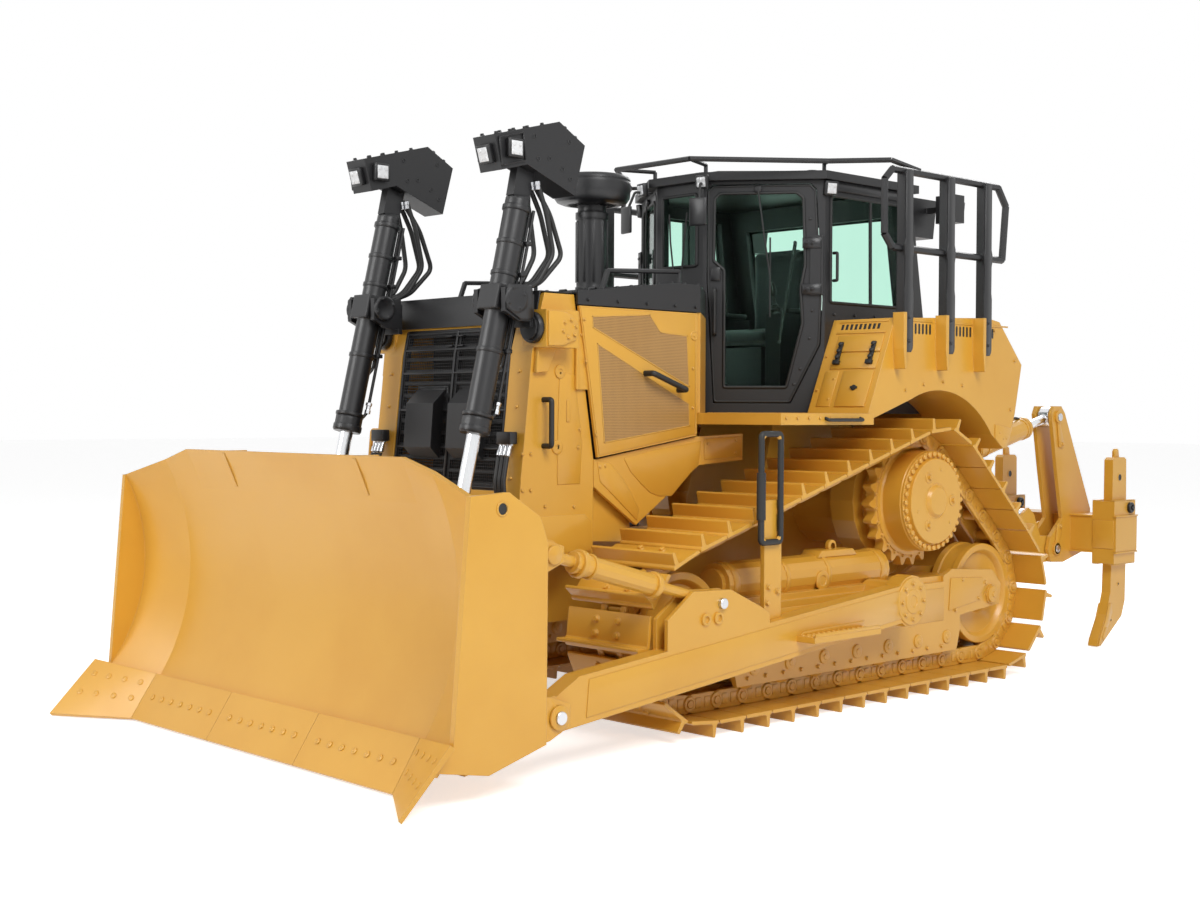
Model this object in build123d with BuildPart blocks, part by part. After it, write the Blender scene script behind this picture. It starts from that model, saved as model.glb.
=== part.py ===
from build123d import *
from math import acos, asin, atan2, cos, hypot, pi, radians, sin
import os

# Crawler bulldozer with a semi-U blade, an enclosed cab and a three-shank ripper.
# Millimetres. +X is the machine's left, the blade faces -Y, +Z is up and the tracks stand on z = 0.
# Lengthwise places are counted from the sprocket axle, which lies sprocket_y behind the origin,
# so a point of the side view is (distance behind the sprocket axle, height above the ground).

os.makedirs("parts", exist_ok=True)

# ---------------------------------------------------------------- driving sizes
sprocket_y = 827
running_gap = 0.3        # between curved pieces that run or seat on each other
slip_gap = 6             # between a moving piece and its neighbour
pin_play = 0.05          # between a pin and its bore
bore_sides = 12

# tracks
gauge_half = 1050        # machine's middle to the middle of a track
shoe_pitch_wanted = 229
shoe_width = 646
shoe_plate = 22
grouser_height = 75
pin_to_shoe = 58         # pin line to the inner face of the shoe plate
idler_pin_radius = 420
front_idler_y = -2300
rear_idler_y = 770
sprocket_z = 1253
sprocket_teeth = 23
bushing_radius = 30
rail_inner = 55          # pin line to the rolling face of the link rails
rail_gap = 55            # track's middle to a link rail
rail_thickness = 40
tooth_above_pin = 24

# blade
blade_arm_pivot = (-550, 650)
blade_half_width = 1680
blade_centre_half = 1042
arm_outer_x = gauge_half + 450
arm_thickness = 112
arm_pivot_radius = 60
lift_x = 604             # machine's middle to a lift cylinder

# main masses
case_half = 330
guard_half = 690
hood_half = 700
panel = 20               # doors, hood sheets and fenders
cab_wall = 60
cab_nose_half = 213      # half width of the windshield wall
cab_front_y = -1104
cab_side_x = 845
platform_z = 1830
platform_outer_x = 1373
fender_outer_x = 1330

ground_to_idler = pin_to_shoe + shoe_plate + grouser_height + idler_pin_radius

# Datum planes: the side view at x = 0, the plan view at z = 0 and the front view at the sprocket axle
side = Plane(origin=(0, sprocket_y, 0), x_dir=(0, 1, 0), z_dir=(1, 0, 0))
plan = Plane(origin=(0, sprocket_y, 0), x_dir=(1, 0, 0), z_dir=(0, 0, 1))
front = Plane(origin=(0, sprocket_y, 0), x_dir=(1, 0, 0), z_dir=(0, -1, 0))
left_and_right = (("left", 1), ("right", -1))


def save(piece, label):
    piece.part.label = label
    export_step(piece.part, f"parts/{label}.step")


def slab(points, x_low, x_high, mode=Mode.ADD):
    """A side-view outline made solid from x_low to x_high."""
    with BuildSketch(side.offset(x_low)) as outline:
        with BuildLine():
            Polyline(*points, close=True)
        make_face()
    extrude(outline.sketch, amount=x_high - x_low, mode=mode)


def plate(points, z_low, z_high, mode=Mode.ADD):
    """A plan-view outline made solid from z_low to z_high."""
    with BuildSketch(plan.offset(z_low)) as outline:
        with BuildLine():
            Polyline(*points, close=True)
        make_face()
    extrude(outline.sketch, amount=z_high - z_low, mode=mode)


def round_or_sided(radius, sides):
    """A circle, or a regular polygon inside that circle when sides is given."""
    if sides:
        RegularPolygon(radius, sides)
    else:
        Circle(radius)


def cross_pin(centre, radius, x_low, x_high, mode=Mode.ADD, sides=0):
    """A bar across the machine at a side-view point."""
    with BuildSketch(side.offset(x_low)) as disc:
        with Locations(centre):
            round_or_sided(radius, sides)
    extrude(disc.sketch, amount=x_high - x_low, mode=mode)


def bore_outline(pin_radius):
    """A bore's section: its flats clear a pin of that radius, many-sided or round."""
    RegularPolygon(pin_radius + pin_play, bore_sides, major_radius=False, rotation=180 / bore_sides)


def cross_bore(centre, pin_radius, x_low, x_high):
    with BuildSketch(side.offset(x_low)) as hole:
        with Locations(centre):
            bore_outline(pin_radius)
    extrude(hole.sketch, amount=x_high - x_low, mode=Mode.SUBTRACT)


def block(x, y, z, mode=Mode.ADD):
    """A box between (low, high) limits on each axis, y counted from the sprocket axle."""
    slab([(y[0], z[0]), (y[1], z[0]), (y[1], z[1]), (y[0], z[1])], x[0], x[1], mode)


def place(point):
    """The point (x, distance behind the sprocket axle, height) from the origin."""
    return Vector(point[0], point[1] + sprocket_y, point[2])


def rod_between(start, end, radius, sides=0):
    """A bar between two points (x, distance behind the sprocket axle, height)."""
    run = place(end) - place(start)
    with BuildSketch(Plane(origin=place(start), z_dir=run)) as disc:
        round_or_sided(radius, sides)
    extrude(disc.sketch, amount=run.length)


def rod_bore(start, end, rod_radius):
    run = place(end) - place(start)
    with BuildSketch(Plane(origin=place(start), z_dir=run)) as hole:
        bore_outline(rod_radius)
    extrude(hole.sketch, amount=run.length, mode=Mode.SUBTRACT)


def tube_run(points, radius, sides=6):
    """A bent rail of straight bars through points (x, distance behind the sprocket axle, height)."""
    for start, end in zip(points, points[1:]):
        rod_between(start, end, radius, sides=sides)


def sided(sign, low, high):
    """Limits low..high out from the middle, on the left (+1) or the right (-1)."""
    return (low, high) if sign > 0 else (-high, -low)


def along(start, end, distance):
    """The side-view point that lies a distance from start towards end."""
    length = hypot(end[0] - start[0], end[1] - start[1])
    return (start[0] + (end[0] - start[0]) * distance / length,
            start[1] + (end[1] - start[1]) * distance / length)


# ---------------------------------------------------------------- track loop
# The pin line runs round three circles: front idler, rear idler and sprocket, as seen from the left.
def loop_segments(sprocket_pin_radius):
    circles = [((front_idler_y, ground_to_idler), idler_pin_radius),
               ((rear_idler_y, ground_to_idler), idler_pin_radius),
               ((0, sprocket_z), sprocket_pin_radius)]
    normals = []
    for (here, r_here), (there, r_there) in zip(circles, circles[1:] + circles[:1]):
        dy, dz = there[0] - here[0], there[1] - here[1]
        normals.append(atan2(dz, dy) - acos((r_here - r_there) / hypot(dy, dz)))
    segments = []
    for i, (centre, radius) in enumerate(circles):
        following, r_next = circles[(i + 1) % 3]
        arrive, leave = normals[i - 1], normals[i]
        turn = (leave - arrive) % (2 * pi)
        segments.append(("arc", centre, radius, arrive, turn * radius))
        a = (centre[0] + radius * cos(leave), centre[1] + radius * sin(leave))
        b = (following[0] + r_next * cos(leave), following[1] + r_next * sin(leave))
        segments.append(("run", a, b, leave, hypot(b[0] - a[0], b[1] - a[1])))
    return segments


def loop_point(segments, distance):
    distance %= sum(segment[4] for segment in segments)
    for kind, first, second, angle, length in segments:
        if distance <= length:
            break
        distance -= length
    if kind == "arc":
        angle += distance / second
        return (first[0] + second * cos(angle), first[1] + second * sin(angle))
    return (first[0] + (second[0] - first[0]) * distance / length,
            first[1] + (second[1] - first[1]) * distance / length)


# Every second tooth space takes a pin, so the sprocket's pin circle follows from the pitch
sprocket_pin_radius = sprocket_teeth * shoe_pitch_wanted / (4 * pi)
for attempt in range(20):
    loop = loop_segments(sprocket_pin_radius)
    loop_length = sum(segment[4] for segment in loop)
    shoe_count = round(loop_length / shoe_pitch_wanted)
    shoe_pitch = loop_length / shoe_count
    sprocket_pin_radius = sprocket_teeth * shoe_pitch / (4 * pi)

# The first pin stands where the track reaches the sprocket
first_pin = sum(segment[4] for segment in loop[:4])
sprocket_phase = loop[4][3]
pins = [loop_point(loop, first_pin + i * shoe_pitch) for i in range(shoe_count)]


def link_point(i, share, out):
    """Point on link i: a share of the way to the next pin, and out from the pin line."""
    a, b = pins[i], pins[(i + 1) % shoe_count]
    dy, dz = b[0] - a[0], b[1] - a[1]
    length = hypot(dy, dz)
    return (a[0] + dy * share + dz / length * out, a[1] + dz * share - dy / length * out)


pin_to_plate = pin_to_shoe + shoe_plate
# Shoe outline: (share of the pitch, height above the plate's outer face)
shoe_outline = ((0.06, 0), (0.80, 0), (0.83, grouser_height), (0.92, grouser_height), (0.95, 0))
shoe_outer = [link_point(i, share, pin_to_plate + up)
              for i in range(shoe_count) for share, up in shoe_outline]
shoe_inner = [link_point(i, 0.5, pin_to_shoe) for i in range(shoe_count)]
rail_outer_line = [link_point(i, 0.5, pin_to_shoe + 2) for i in range(shoe_count)]
rail_inner_line = [link_point(i, share, -rail_inner) for i in range(shoe_count) for share in (0.2, 0.8)]

for name, sign in left_and_right:
    middle = sign * gauge_half
    with BuildPart() as track:
        slab(shoe_outer, middle - shoe_width / 2, middle + shoe_width / 2)
        slab(shoe_inner, middle - shoe_width / 2, middle + shoe_width / 2, Mode.SUBTRACT)
        for rail in (middle - rail_gap - rail_thickness, middle + rail_gap):
            with BuildSketch(side.offset(rail)):
                with BuildLine():
                    Polyline(*rail_outer_line, close=True)
                make_face()
                with BuildLine():
                    Polyline(*rail_inner_line, close=True)
                make_face(mode=Mode.SUBTRACT)
            extrude(amount=rail_thickness)
        with BuildSketch(side.offset(middle - rail_gap - 2)):
            with Locations(*pins):
                RegularPolygon(bushing_radius, 6, rotation=0)
        extrude(amount=2 * rail_gap + 4)
    save(track, f"track_{name}")

# ---------------------------------------------------------------- sprockets and final drives
tooth_root = sprocket_pin_radius - bushing_radius - 2
tooth_tip = sprocket_pin_radius + tooth_above_pin
tooth_step = 2 * pi / sprocket_teeth
# Tooth outline: (share of the tooth step from a pin space, radius)
tooth_outline = ((-0.24, tooth_root), (0.24, tooth_root), (0.43, tooth_tip), (0.57, tooth_tip))
sprocket_points = [(r * cos(sprocket_phase + (i + share) * tooth_step),
                    sprocket_z + r * sin(sprocket_phase + (i + share) * tooth_step))
                   for i in range(sprocket_teeth) for share, r in tooth_outline]
sprocket_half = rail_gap - 20
drum_radius = 335
drum_outer = gauge_half + 215
boss_circle = 180
with BuildPart() as sprockets:
    for name, sign in left_and_right:
        middle = sign * gauge_half
        slab(sprocket_points, middle - sprocket_half, middle + sprocket_half)
        cross_pin((0, sprocket_z), drum_radius, *sided(sign, gauge_half, drum_outer))
        cross_pin((0, sprocket_z), 0.85 * drum_radius, *sided(sign, drum_outer, drum_outer + 35), sides=20)
        cross_pin((0, sprocket_z), 95, *sided(sign, drum_outer + 35, drum_outer + 60), sides=12)
        for i in range(3):
            angle = pi / 2 + i * 2 * pi / 3
            cross_pin((boss_circle * cos(angle), sprocket_z + boss_circle * sin(angle)), 30,
                      *sided(sign, drum_outer + 35, drum_outer + 57), sides=8)
save(sprockets, "sprockets")

with BuildPart() as final_drives:
    for name, sign in left_and_right:
        cross_pin((0, sprocket_z), 430, *sided(sign, gauge_half - 300, gauge_half - 110), sides=20)
        cross_pin((0, sprocket_z), 330, *sided(sign, case_half, gauge_half - sprocket_half), sides=16)
save(final_drives, "final_drives")

# ---------------------------------------------------------------- idlers, rollers and track frames
half_link_angle = asin(shoe_pitch / 2 / idler_pin_radius)
idler_tread = idler_pin_radius * cos(half_link_angle) - rail_inner - running_gap
roller_tread = 115
roller_z = pin_to_shoe + shoe_plate + grouser_height + rail_inner + roller_tread + running_gap
roller_count = 7
roller_first_y = -1740
roller_step = 330
tread_outer = rail_gap + rail_thickness + 6
fork_thickness = 34
fork_inner = 141         # track's middle to the inner face of a guard or fork
idler_hub_half = 130


def wheels(middle, centres, steps, mode=Mode.ADD):
    """Wheels about X, alike on both sides of the middle; a step is (from, to, radius, sides)."""
    for low, high, radius, sides in steps:
        for start in (middle + low, middle - high):
            with BuildSketch(side.offset(start)) as discs:
                with Locations(*centres):
                    RegularPolygon(radius, sides)
            extrude(discs.sketch, amount=high - low, mode=mode)


idler_centres = [(front_idler_y, ground_to_idler), (rear_idler_y, ground_to_idler)]
roller_centres = [(roller_first_y + i * roller_step, roller_z) for i in range(roller_count)]
with BuildPart() as idlers:
    for name, sign in left_and_right:
        middle = sign * gauge_half
        wheels(middle, idler_centres, ((0, tread_outer, idler_tread, 24),))
        wheels(middle, idler_centres, ((60, tread_outer, idler_tread - 50, 16),), Mode.SUBTRACT)
        wheels(middle, idler_centres, ((0, idler_hub_half, 110, 12),))
save(idlers, "idlers")

with BuildPart() as rollers:
    for name, sign in left_and_right:
        wheels(sign * gauge_half, roller_centres,
               ((0, 122, roller_tread, 12), (0, fork_inner, 60, 6)))
save(rollers, "rollers")

for name, sign in left_and_right:
    middle = sign * gauge_half
    with BuildPart() as track_frame:
        # box beam, with roller guards hanging from both sides
        block((middle - fork_inner - 9, middle + fork_inner + 9), (-1860, 330), (roller_z + 150, 740))
        for guard_x in (middle - fork_inner - fork_thickness, middle + fork_inner):
            slab([(-1890, roller_z - 100), (360, roller_z - 100), (400, roller_z + 40), (400, 700),
                  (-1860, 700), (-1930, roller_z + 40)], guard_x, guard_x + fork_thickness)
            # forks that hold the two idlers
            slab([(front_idler_y - 120, 480), (-1850, 440), (-1850, 760), (front_idler_y - 120, 690)],
                 guard_x, guard_x + fork_thickness)
            slab([(200, 440), (520, 470), (rear_idler_y + 110, 500), (rear_idler_y + 130, 640),
                  (rear_idler_y + 20, 745), (300, 780), (200, 740)], guard_x, guard_x + fork_thickness)
        # recoil spring housing on top of the beam
        rod_between((middle, -1900, 820), (middle, -340, 820), 125, sides=16)
        rod_between((middle, -1925, 820), (middle, -1900, 820), 90, sides=16)
        for centre in idler_centres:
            for low, high in ((idler_hub_half, 190), (-190, -idler_hub_half)):
                cross_pin(centre, 70, middle + low, middle + high, sides=8)
        # trunnion ball for the push arm, and the pivot shaft that carries the main case
        arm_inner_x = arm_outer_x - arm_thickness
        cross_pin(blade_arm_pivot, 120, *sided(sign, gauge_half + 120, arm_inner_x - slip_gap), sides=16)
        cross_pin(blade_arm_pivot, arm_pivot_radius, *sided(sign, gauge_half + 120, arm_outer_x - slip_gap))
        cross_pin((-250, 620), 110, *sided(sign, case_half, gauge_half - fork_inner - 9), sides=12)
        block(sided(sign, case_half, gauge_half - fork_inner - 9), (-1500, -1340), (640, 760))
    save(track_frame, f"track_frame_{name}")

# ---------------------------------------------------------------- main case and engine
engine_low = 1120
guard_low = 1010
with BuildPart() as main_case:
    slab([(-2960, 900), (-2900, 700), (-2600, 580), (400, 560), (900, 660), (1000, 860), (1000, 1600),
          (420, 1610), (300, platform_z), (-500, platform_z), (-700, engine_low), (-2540, engine_low),
          (-2540, guard_low), (-2960, guard_low)], -case_half, case_half)
save(main_case, "main_case")

with BuildPart() as engine:
    block((-270, 270), (-2450, -1750), (engine_low, 2250))
save(engine, "engine")

# ---------------------------------------------------------------- radiator guard
guard_wall = 110
grille_half = 510
grille_low = 1385
grille_high = 2320
grille_depth = 32
guard_side = [(-2930, 2500), (-3020, 2170), (-3100, 1450), (-3130, 1120), (-3070, guard_low),
              (-2550, guard_low),
              (-2547, 1556), (-2604, 1904), (-2704, 2500)]
with BuildPart() as radiator_guard:
    slab(guard_side, -guard_half, guard_half)
    block((-grille_half, grille_half), (-3300, -2700), (grille_low, grille_high), Mode.SUBTRACT)
    block((-guard_half + guard_wall, guard_half - guard_wall), (-2780, -2400), (grille_low, grille_high),
          Mode.SUBTRACT)
    for name, sign in left_and_right:
        block(sided(sign, 600, 800), (-3012, -2770), (2190, 2400))
save(radiator_guard, "radiator_guard")

with BuildPart() as radiator:
    block((-grille_half - 40, grille_half + 40), (-2770, -2640), (grille_low, grille_high))
save(radiator, "radiator")

slat_rows = 12
slat_pitch = (grille_high - grille_low - 60) / slat_rows
grille_line = [(-2975, grille_high), (-3008, 2170), (-3092, grille_low)]
with BuildPart() as grille:
    slab(grille_line + [(y + grille_depth, z) for y, z in reversed(grille_line)],
         -grille_half, grille_half)
    with BuildSketch(front.offset(3200)):
        with Locations((0, (grille_low + grille_high) / 2)):
            with GridLocations(grille_half - 5, slat_pitch, 2, slat_rows):
                Rectangle(grille_half - 55, slat_pitch - 22)
    extrude(amount=-400, mode=Mode.SUBTRACT)
    # twin horn and sensor boxes that stand out from the grille
    for x_low, x_high in ((-330, -70), (70, 330)):
        slab([(-3125, 1880), (-3040, 1960), (-3010, 1960), (-3040, 1560), (-3085, 1560), (-3145, 1620)],
             x_low, x_high)
save(grille, "grille")

# ---------------------------------------------------------------- hood and its doors
hood_rear = -1675
hood_nose_half = 300
hood_nose_y = -1170
hood_top_z = 2612
hood_plan = [(hood_half + panel, -2700), (hood_half + panel, hood_rear), (hood_nose_half, hood_nose_y),
             (-hood_nose_half, hood_nose_y), (-hood_half - panel, hood_rear), (-hood_half - panel, -2700)]
hood_plan_inner = [(hood_half, -2720), (hood_half, hood_rear - panel),
                   (hood_nose_half - panel, hood_nose_y - panel),
                   (-hood_nose_half + panel, hood_nose_y - panel), (-hood_half, hood_rear - panel),
                   (-hood_half, -2720)]
with BuildPart() as hood_hollow:
    plate(hood_plan_inner, 2400, hood_top_z)
    slab([(-2720, 2400), (-2720, 2500), (-1900, hood_top_z - panel), (hood_nose_y, hood_top_z - panel),
          (hood_nose_y, 2400)], -hood_half, hood_half, Mode.INTERSECT)



def hood_surface(y):
    """Height of the hood's sloping top just above a distance behind the sprocket axle."""
    return 2520 + (hood_top_z - 2520) * (y + 2700) / 800 + running_gap


with BuildPart() as hood_top:
    plate(hood_plan, 2444, hood_top_z + 10)
    slab([(-2700, 2444), (-2700, 2520), (-1900, hood_top_z), (hood_nose_y, hood_top_z), (hood_nose_y, 2444)],
         -hood_half - panel, hood_half + panel, Mode.INTERSECT)
    add(hood_hollow.part, mode=Mode.SUBTRACT)
save(hood_top, "hood_top")

# Hand rails along both edges of the hood
hood_rail_z = hood_top_z + 78
with BuildPart() as hood_rails:
    for name, sign in left_and_right:
        x = sign * (hood_half - 40)
        front_foot = [(y, hood_surface(y)) for y in (-2466, -2440)]
        slab(front_foot + [(-2394, hood_rail_z - 26), (-2420, hood_rail_z - 26)], x - 12, x + 12)
        tube_run([(x, -2412, hood_rail_z - 32), (x, hood_rear - 130, hood_rail_z)], 14)
        rod_between((x, hood_rear - 130, hood_top_z + running_gap), (x, hood_rear - 130, hood_rail_z + 8), 14,
                    sides=6)
save(hood_rails, "hood_rails")

with BuildPart() as cowl:
    for name, sign in left_and_right:
        plate([(sign * hood_half, hood_rear - panel), (sign * (hood_half + panel), hood_rear),
               (sign * hood_nose_half, hood_nose_y), (sign * (hood_nose_half - panel), hood_nose_y - panel)],
              platform_z, 2444)
save(cowl, "cowl")

door_rear = hood_rear - panel - 8
door_outline = [(-2690, 2438), (-2596, 1904), (-2539, 1570), (door_rear, 1690), (door_rear, 2438)]
door_windows = ([(-2600, 2350), (-2350, 2375), (-2190, 1780), (-2490, 1735), (-2530, 1910)],
                [(-2270, 2382), (-1770, 2395), (-1770, 1840), (-2110, 1790)])
window_recess = 12
hinge_radius = 12
door_hinge_x = guard_half + hinge_radius + running_gap
door_hinge_y = -2690
door_hinge_z = (1960, 2400)
for name, sign in left_and_right:
    with BuildPart() as engine_door:
        slab(door_outline, *sided(sign, hood_half, hood_half + panel))
        for window in door_windows:
            slab(window, *sided(sign, hood_half + panel - window_recess, hood_half + panel), Mode.SUBTRACT)
        plate([(sign * (door_hinge_x - 5), door_hinge_y), (sign * (door_hinge_x + 4), door_hinge_y),
               (sign * (door_hinge_x + 4), -2560), (sign * (door_hinge_x - 5), -2560)], *door_hinge_z)
        with BuildSketch(plan.offset(door_hinge_z[0])) as knuckle:
            with Locations((sign * door_hinge_x, door_hinge_y)):
                Circle(hinge_radius)
        extrude(knuckle.sketch, amount=door_hinge_z[1] - door_hinge_z[0])
    save(engine_door, f"engine_door_{name}")

with BuildPart() as side_shields:
    for name, sign in left_and_right:
        slab([(-2546.7, 1556), (-2547.7, 1400), (-2200, 1164), (-1655, 1508), (-1250, 1533), (-1250, 1700),
              (-1680, 1684)], *sided(sign, hood_half - 30, hood_half - 5))
        slab([(-2540, 1080), (-2540, 1400), (-2200, 1300), (-2200, 1060)],
             *sided(sign, case_half, hood_half - 60))
save(side_shields, "side_shields")

stack_x = -120
stack_y = -1800
stack_radius = 108
stack_neck_z = 3120
cap_low = 3165
cap_high = 3352
cap_radius = 250
with BuildPart() as air_precleaner:
    foot = hood_top_z + running_gap
    with BuildSketch(Plane(origin=(stack_x, sprocket_y + stack_y, foot))):
        Circle(stack_radius)
    extrude(amount=stack_neck_z - foot)
    with BuildSketch(Plane(origin=(stack_x, sprocket_y + stack_y, stack_neck_z))):
        RegularPolygon(90, 12)
    extrude(amount=cap_low - stack_neck_z)
    with BuildPart(mode=Mode.PRIVATE) as cap:
        with BuildSketch(Plane(origin=(stack_x, sprocket_y + stack_y, cap_low))):
            RegularPolygon(cap_radius, 24)
        extrude(amount=cap_high - cap_low)
        chamfer(cap.edges().group_by(Axis.Z)[0], length=25, length2=60)
        chamfer(cap.edges().group_by(Axis.Z)[-1], 22)
    add(cap.part)
save(air_precleaner, "air_precleaner")

# ---------------------------------------------------------------- platform, fenders and rear tank
platform_front = -1685
fender_front_low = -790
fender_front_top = -520
fender_inner_x = cab_side_x
post = (85, 60)
post_places = (-465, 0, 435)
post_low = 2222
post_high = 3370
rail_tube = 24
for name, sign in left_and_right:
    with BuildPart() as fender:
        slab([(platform_front, platform_z - 70), (platform_front, platform_z), (fender_front_low, platform_z),
              (fender_front_low, platform_z - 70)], *sided(sign, hood_half + panel + 3, platform_outer_x))
        plate([(sign * hood_half, hood_rear - panel), (sign * (hood_half + 60), platform_front),
               (sign * (hood_half + 60), fender_front_low), (sign * (cab_nose_half + 60), fender_front_low),
               (sign * (cab_nose_half + 60), cab_front_y - 4),
               (sign * (hood_nose_half - panel), hood_nose_y - panel)],
              platform_z - 70, platform_z)
        with BuildSketch(side.offset(sign * fender_inner_x)) as outline:
            with BuildLine():
                Line((fender_front_low - 60, platform_z - 65), (fender_front_low - 60, platform_z))
                Polyline((fender_front_low - 60, platform_z), (fender_front_low, platform_z),
                         (fender_front_top, 2440), (537, 2482), (685, 2461), (970, 2173), (887, 1824),
                         (790, 1600), (740, 1590))
                Line((740, 1590), (600, 1690))
                ThreePointArc((600, 1690), (150, 1965), (-330, 1925))
                Line((-330, 1925), (fender_front_low - 60, platform_z - 65))
            make_face()
        extrude(amount=sign * (fender_outer_x - fender_inner_x))
        # brackets that hold the guard posts
        for y in post_places:
            front_of_post = y - post[0] / 2 - running_gap
            slab([(front_of_post, post_low + 250), (front_of_post, post_low - 90),
                  (front_of_post - 14, post_low - 110),
                  (front_of_post - 32, post_low + 20), (front_of_post - 32, post_low + 250)],
                 *sided(sign, fender_outer_x, fender_outer_x + post[1] + 25))
    save(fender, f"fender_{name}")

tank_front = 482
with BuildPart() as rear_tank:
    slab([(tank_front, 1660), (760, 1620), (890, 1824), (960, 2173), (680, 2440), (tank_front, 2440)],
         -fender_inner_x, fender_inner_x)
save(rear_tank, "rear_tank")

with BuildPart() as guard_rails:
    for name, sign in left_and_right:
        x = sided(sign, fender_outer_x + running_gap, fender_outer_x + post[1])
        middle = (x[0] + x[1]) / 2
        for y in post_places:
            block(x, (y - post[0] / 2, y + post[0] / 2), (post_low, post_high))
        hoop = [(-600, 3370), (-680, 3300), (-680, 2960), (-600, 2880), (660, 2880), (700, 3250), (600, 3370),
                (-600, 3370)]
        tube_run([(middle, *point) for point in hoop], rail_tube)
# ---------------------------------------------------------------- cab
door_slant = radians(37.5)
cab_rear_y = 330
cab_rear_slope = 150
cab_waist_z = 2500        # where the rear wall starts to slope forward
cab_floor_z = 1866
cab_top_z = 3352
door_gap = 6
door_thickness = 45
cab_hinge_u = 779        # hinge line, along the door from the windshield's corner
cab_hinge_z = (2600, cab_top_z - 362)

# The door lies in the slanting side, which runs back and outwards from the windshield's corner
door_dir = (cos(door_slant), sin(door_slant))
door_run = (cab_side_x - cab_nose_half) / door_dir[0]
cab_side_front = cab_front_y + door_run * door_dir[1]
door_top = cab_top_z - 27
door_low = cab_floor_z + 34
glass_top = door_top - 53
cab_door_outline = [(30, door_top - 35), (60, door_top), (700, door_top), (735, door_top - 35), (775, 2574),
                    (765, 2279), (576, door_low), (75, door_low), (30, 2700)]
cab_door_glass = [(75, glass_top - 32), (110, glass_top), (610, glass_top), (655, glass_top - 37),
                  (670, 2800), (640, 2640), (655, 2420), (550, door_low + 100), (140, door_low + 100),
                  (140, 2770), (70, 2830)]


def mirrored(points):
    return list(points) + [(-x, y) for x, y in reversed(points)]


wall_step = cab_wall / cos(door_slant) - cab_wall * door_dir[1] / door_dir[0]
cab_plan = mirrored([(cab_nose_half, cab_front_y), (cab_side_x, cab_side_front), (cab_side_x, 700)])
cab_inner = mirrored([(cab_nose_half - 20, cab_front_y + cab_wall),
                      (cab_side_x - cab_wall, cab_side_front + wall_step),
                      (cab_side_x - cab_wall, 700)])


def door_plane(sign):
    return Plane(origin=(sign * cab_nose_half, sprocket_y + cab_front_y, 0),
                 x_dir=(sign * door_dir[0], door_dir[1], 0), z_dir=(door_dir[1], -sign * door_dir[0], 0))


def door_slab(points, sign, depth_low, depth_high, mode=Mode.ADD, grow=0):
    """A door-shaped solid from depth_low to depth_high inside the cab's slanting side."""
    with BuildSketch(door_plane(sign)) as outline:
        with BuildLine():
            Polyline(*points, close=True)
        make_face()
        if grow:
            offset(amount=grow, kind=Kind.INTERSECTION)
    # the plane's normal points outwards on the left and inwards on the right
    inwards = -sign
    moved = outline.sketch.moved(Location(door_plane(sign).z_dir * inwards * depth_low))
    extrude(moved, amount=inwards * (depth_high - depth_low), mode=mode)


def front_slab(points, y_low, y_high, mode=Mode.ADD):
    """A front-view outline made solid from y_low back to y_high."""
    with BuildSketch(front.offset(-y_low)) as outline:
        with BuildLine():
            Polyline(*points, close=True)
        make_face()
    extrude(outline.sketch, amount=y_low - y_high, mode=mode)


front_window_half = cab_nose_half - 55
front_window_top = cab_top_z - 72
front_window = [(-front_window_half, 2800), (front_window_half, 2800), (front_window_half, front_window_top),
                (-front_window_half, front_window_top)]
rear_window_half = cab_side_x - 205
rear_window_low = 2560
rear_window_top = cab_top_z - 152
rear_window = [(-rear_window_half, rear_window_low), (rear_window_half, rear_window_low),
               (rear_window_half, rear_window_top), (-rear_window_half, rear_window_top)]
side_window_top = cab_top_z - 92
side_window = [(cab_side_front + 60, 2552), (cab_rear_y - 70, 2552), (cab_rear_y - 150, side_window_top),
               (cab_side_front + 60, side_window_top)]
cab_waist_y = cab_rear_y + cab_rear_slope
cab_side_outline = [(cab_front_y, platform_z), (cab_waist_y, platform_z), (cab_waist_y, cab_waist_z),
                    (cab_rear_y, cab_top_z), (cab_front_y, cab_top_z)]
cab_inner_outline = [(cab_front_y, cab_floor_z), (cab_waist_y - cab_wall, cab_floor_z),
                     (cab_waist_y - cab_wall, cab_waist_z), (cab_rear_y - cab_wall, cab_top_z + 1),
                     (cab_front_y, cab_top_z + 1)]

with BuildPart() as cab_hollow:
    plate(cab_inner, cab_floor_z, cab_top_z + 1)
    slab(cab_inner_outline, -cab_side_x, cab_side_x, Mode.INTERSECT)

with BuildPart() as cab:
    plate(cab_plan, platform_z, cab_top_z)
    slab(cab_side_outline, -cab_side_x, cab_side_x, Mode.INTERSECT)
    add(cab_hollow.part, mode=Mode.SUBTRACT)
    front_slab(front_window, cab_front_y - 20, cab_front_y + cab_wall + 20, Mode.SUBTRACT)
    front_slab(rear_window, cab_rear_y - cab_wall - 30, cab_rear_y + 200, Mode.SUBTRACT)
    for name, sign in left_and_right:
        slab(side_window, *sided(sign, cab_side_x - cab_wall - 20, cab_side_x + 20), Mode.SUBTRACT)
        door_slab(cab_door_outline, sign, -30, 130, Mode.SUBTRACT, grow=door_gap)
save(cab, "cab")



def cab_rear(z):
    """Distance behind the sprocket axle of the cab's sloping rear wall at a height."""
    return cab_rear_y + cab_rear_slope * (cab_top_z - z) / (cab_top_z - cab_waist_z)


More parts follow.
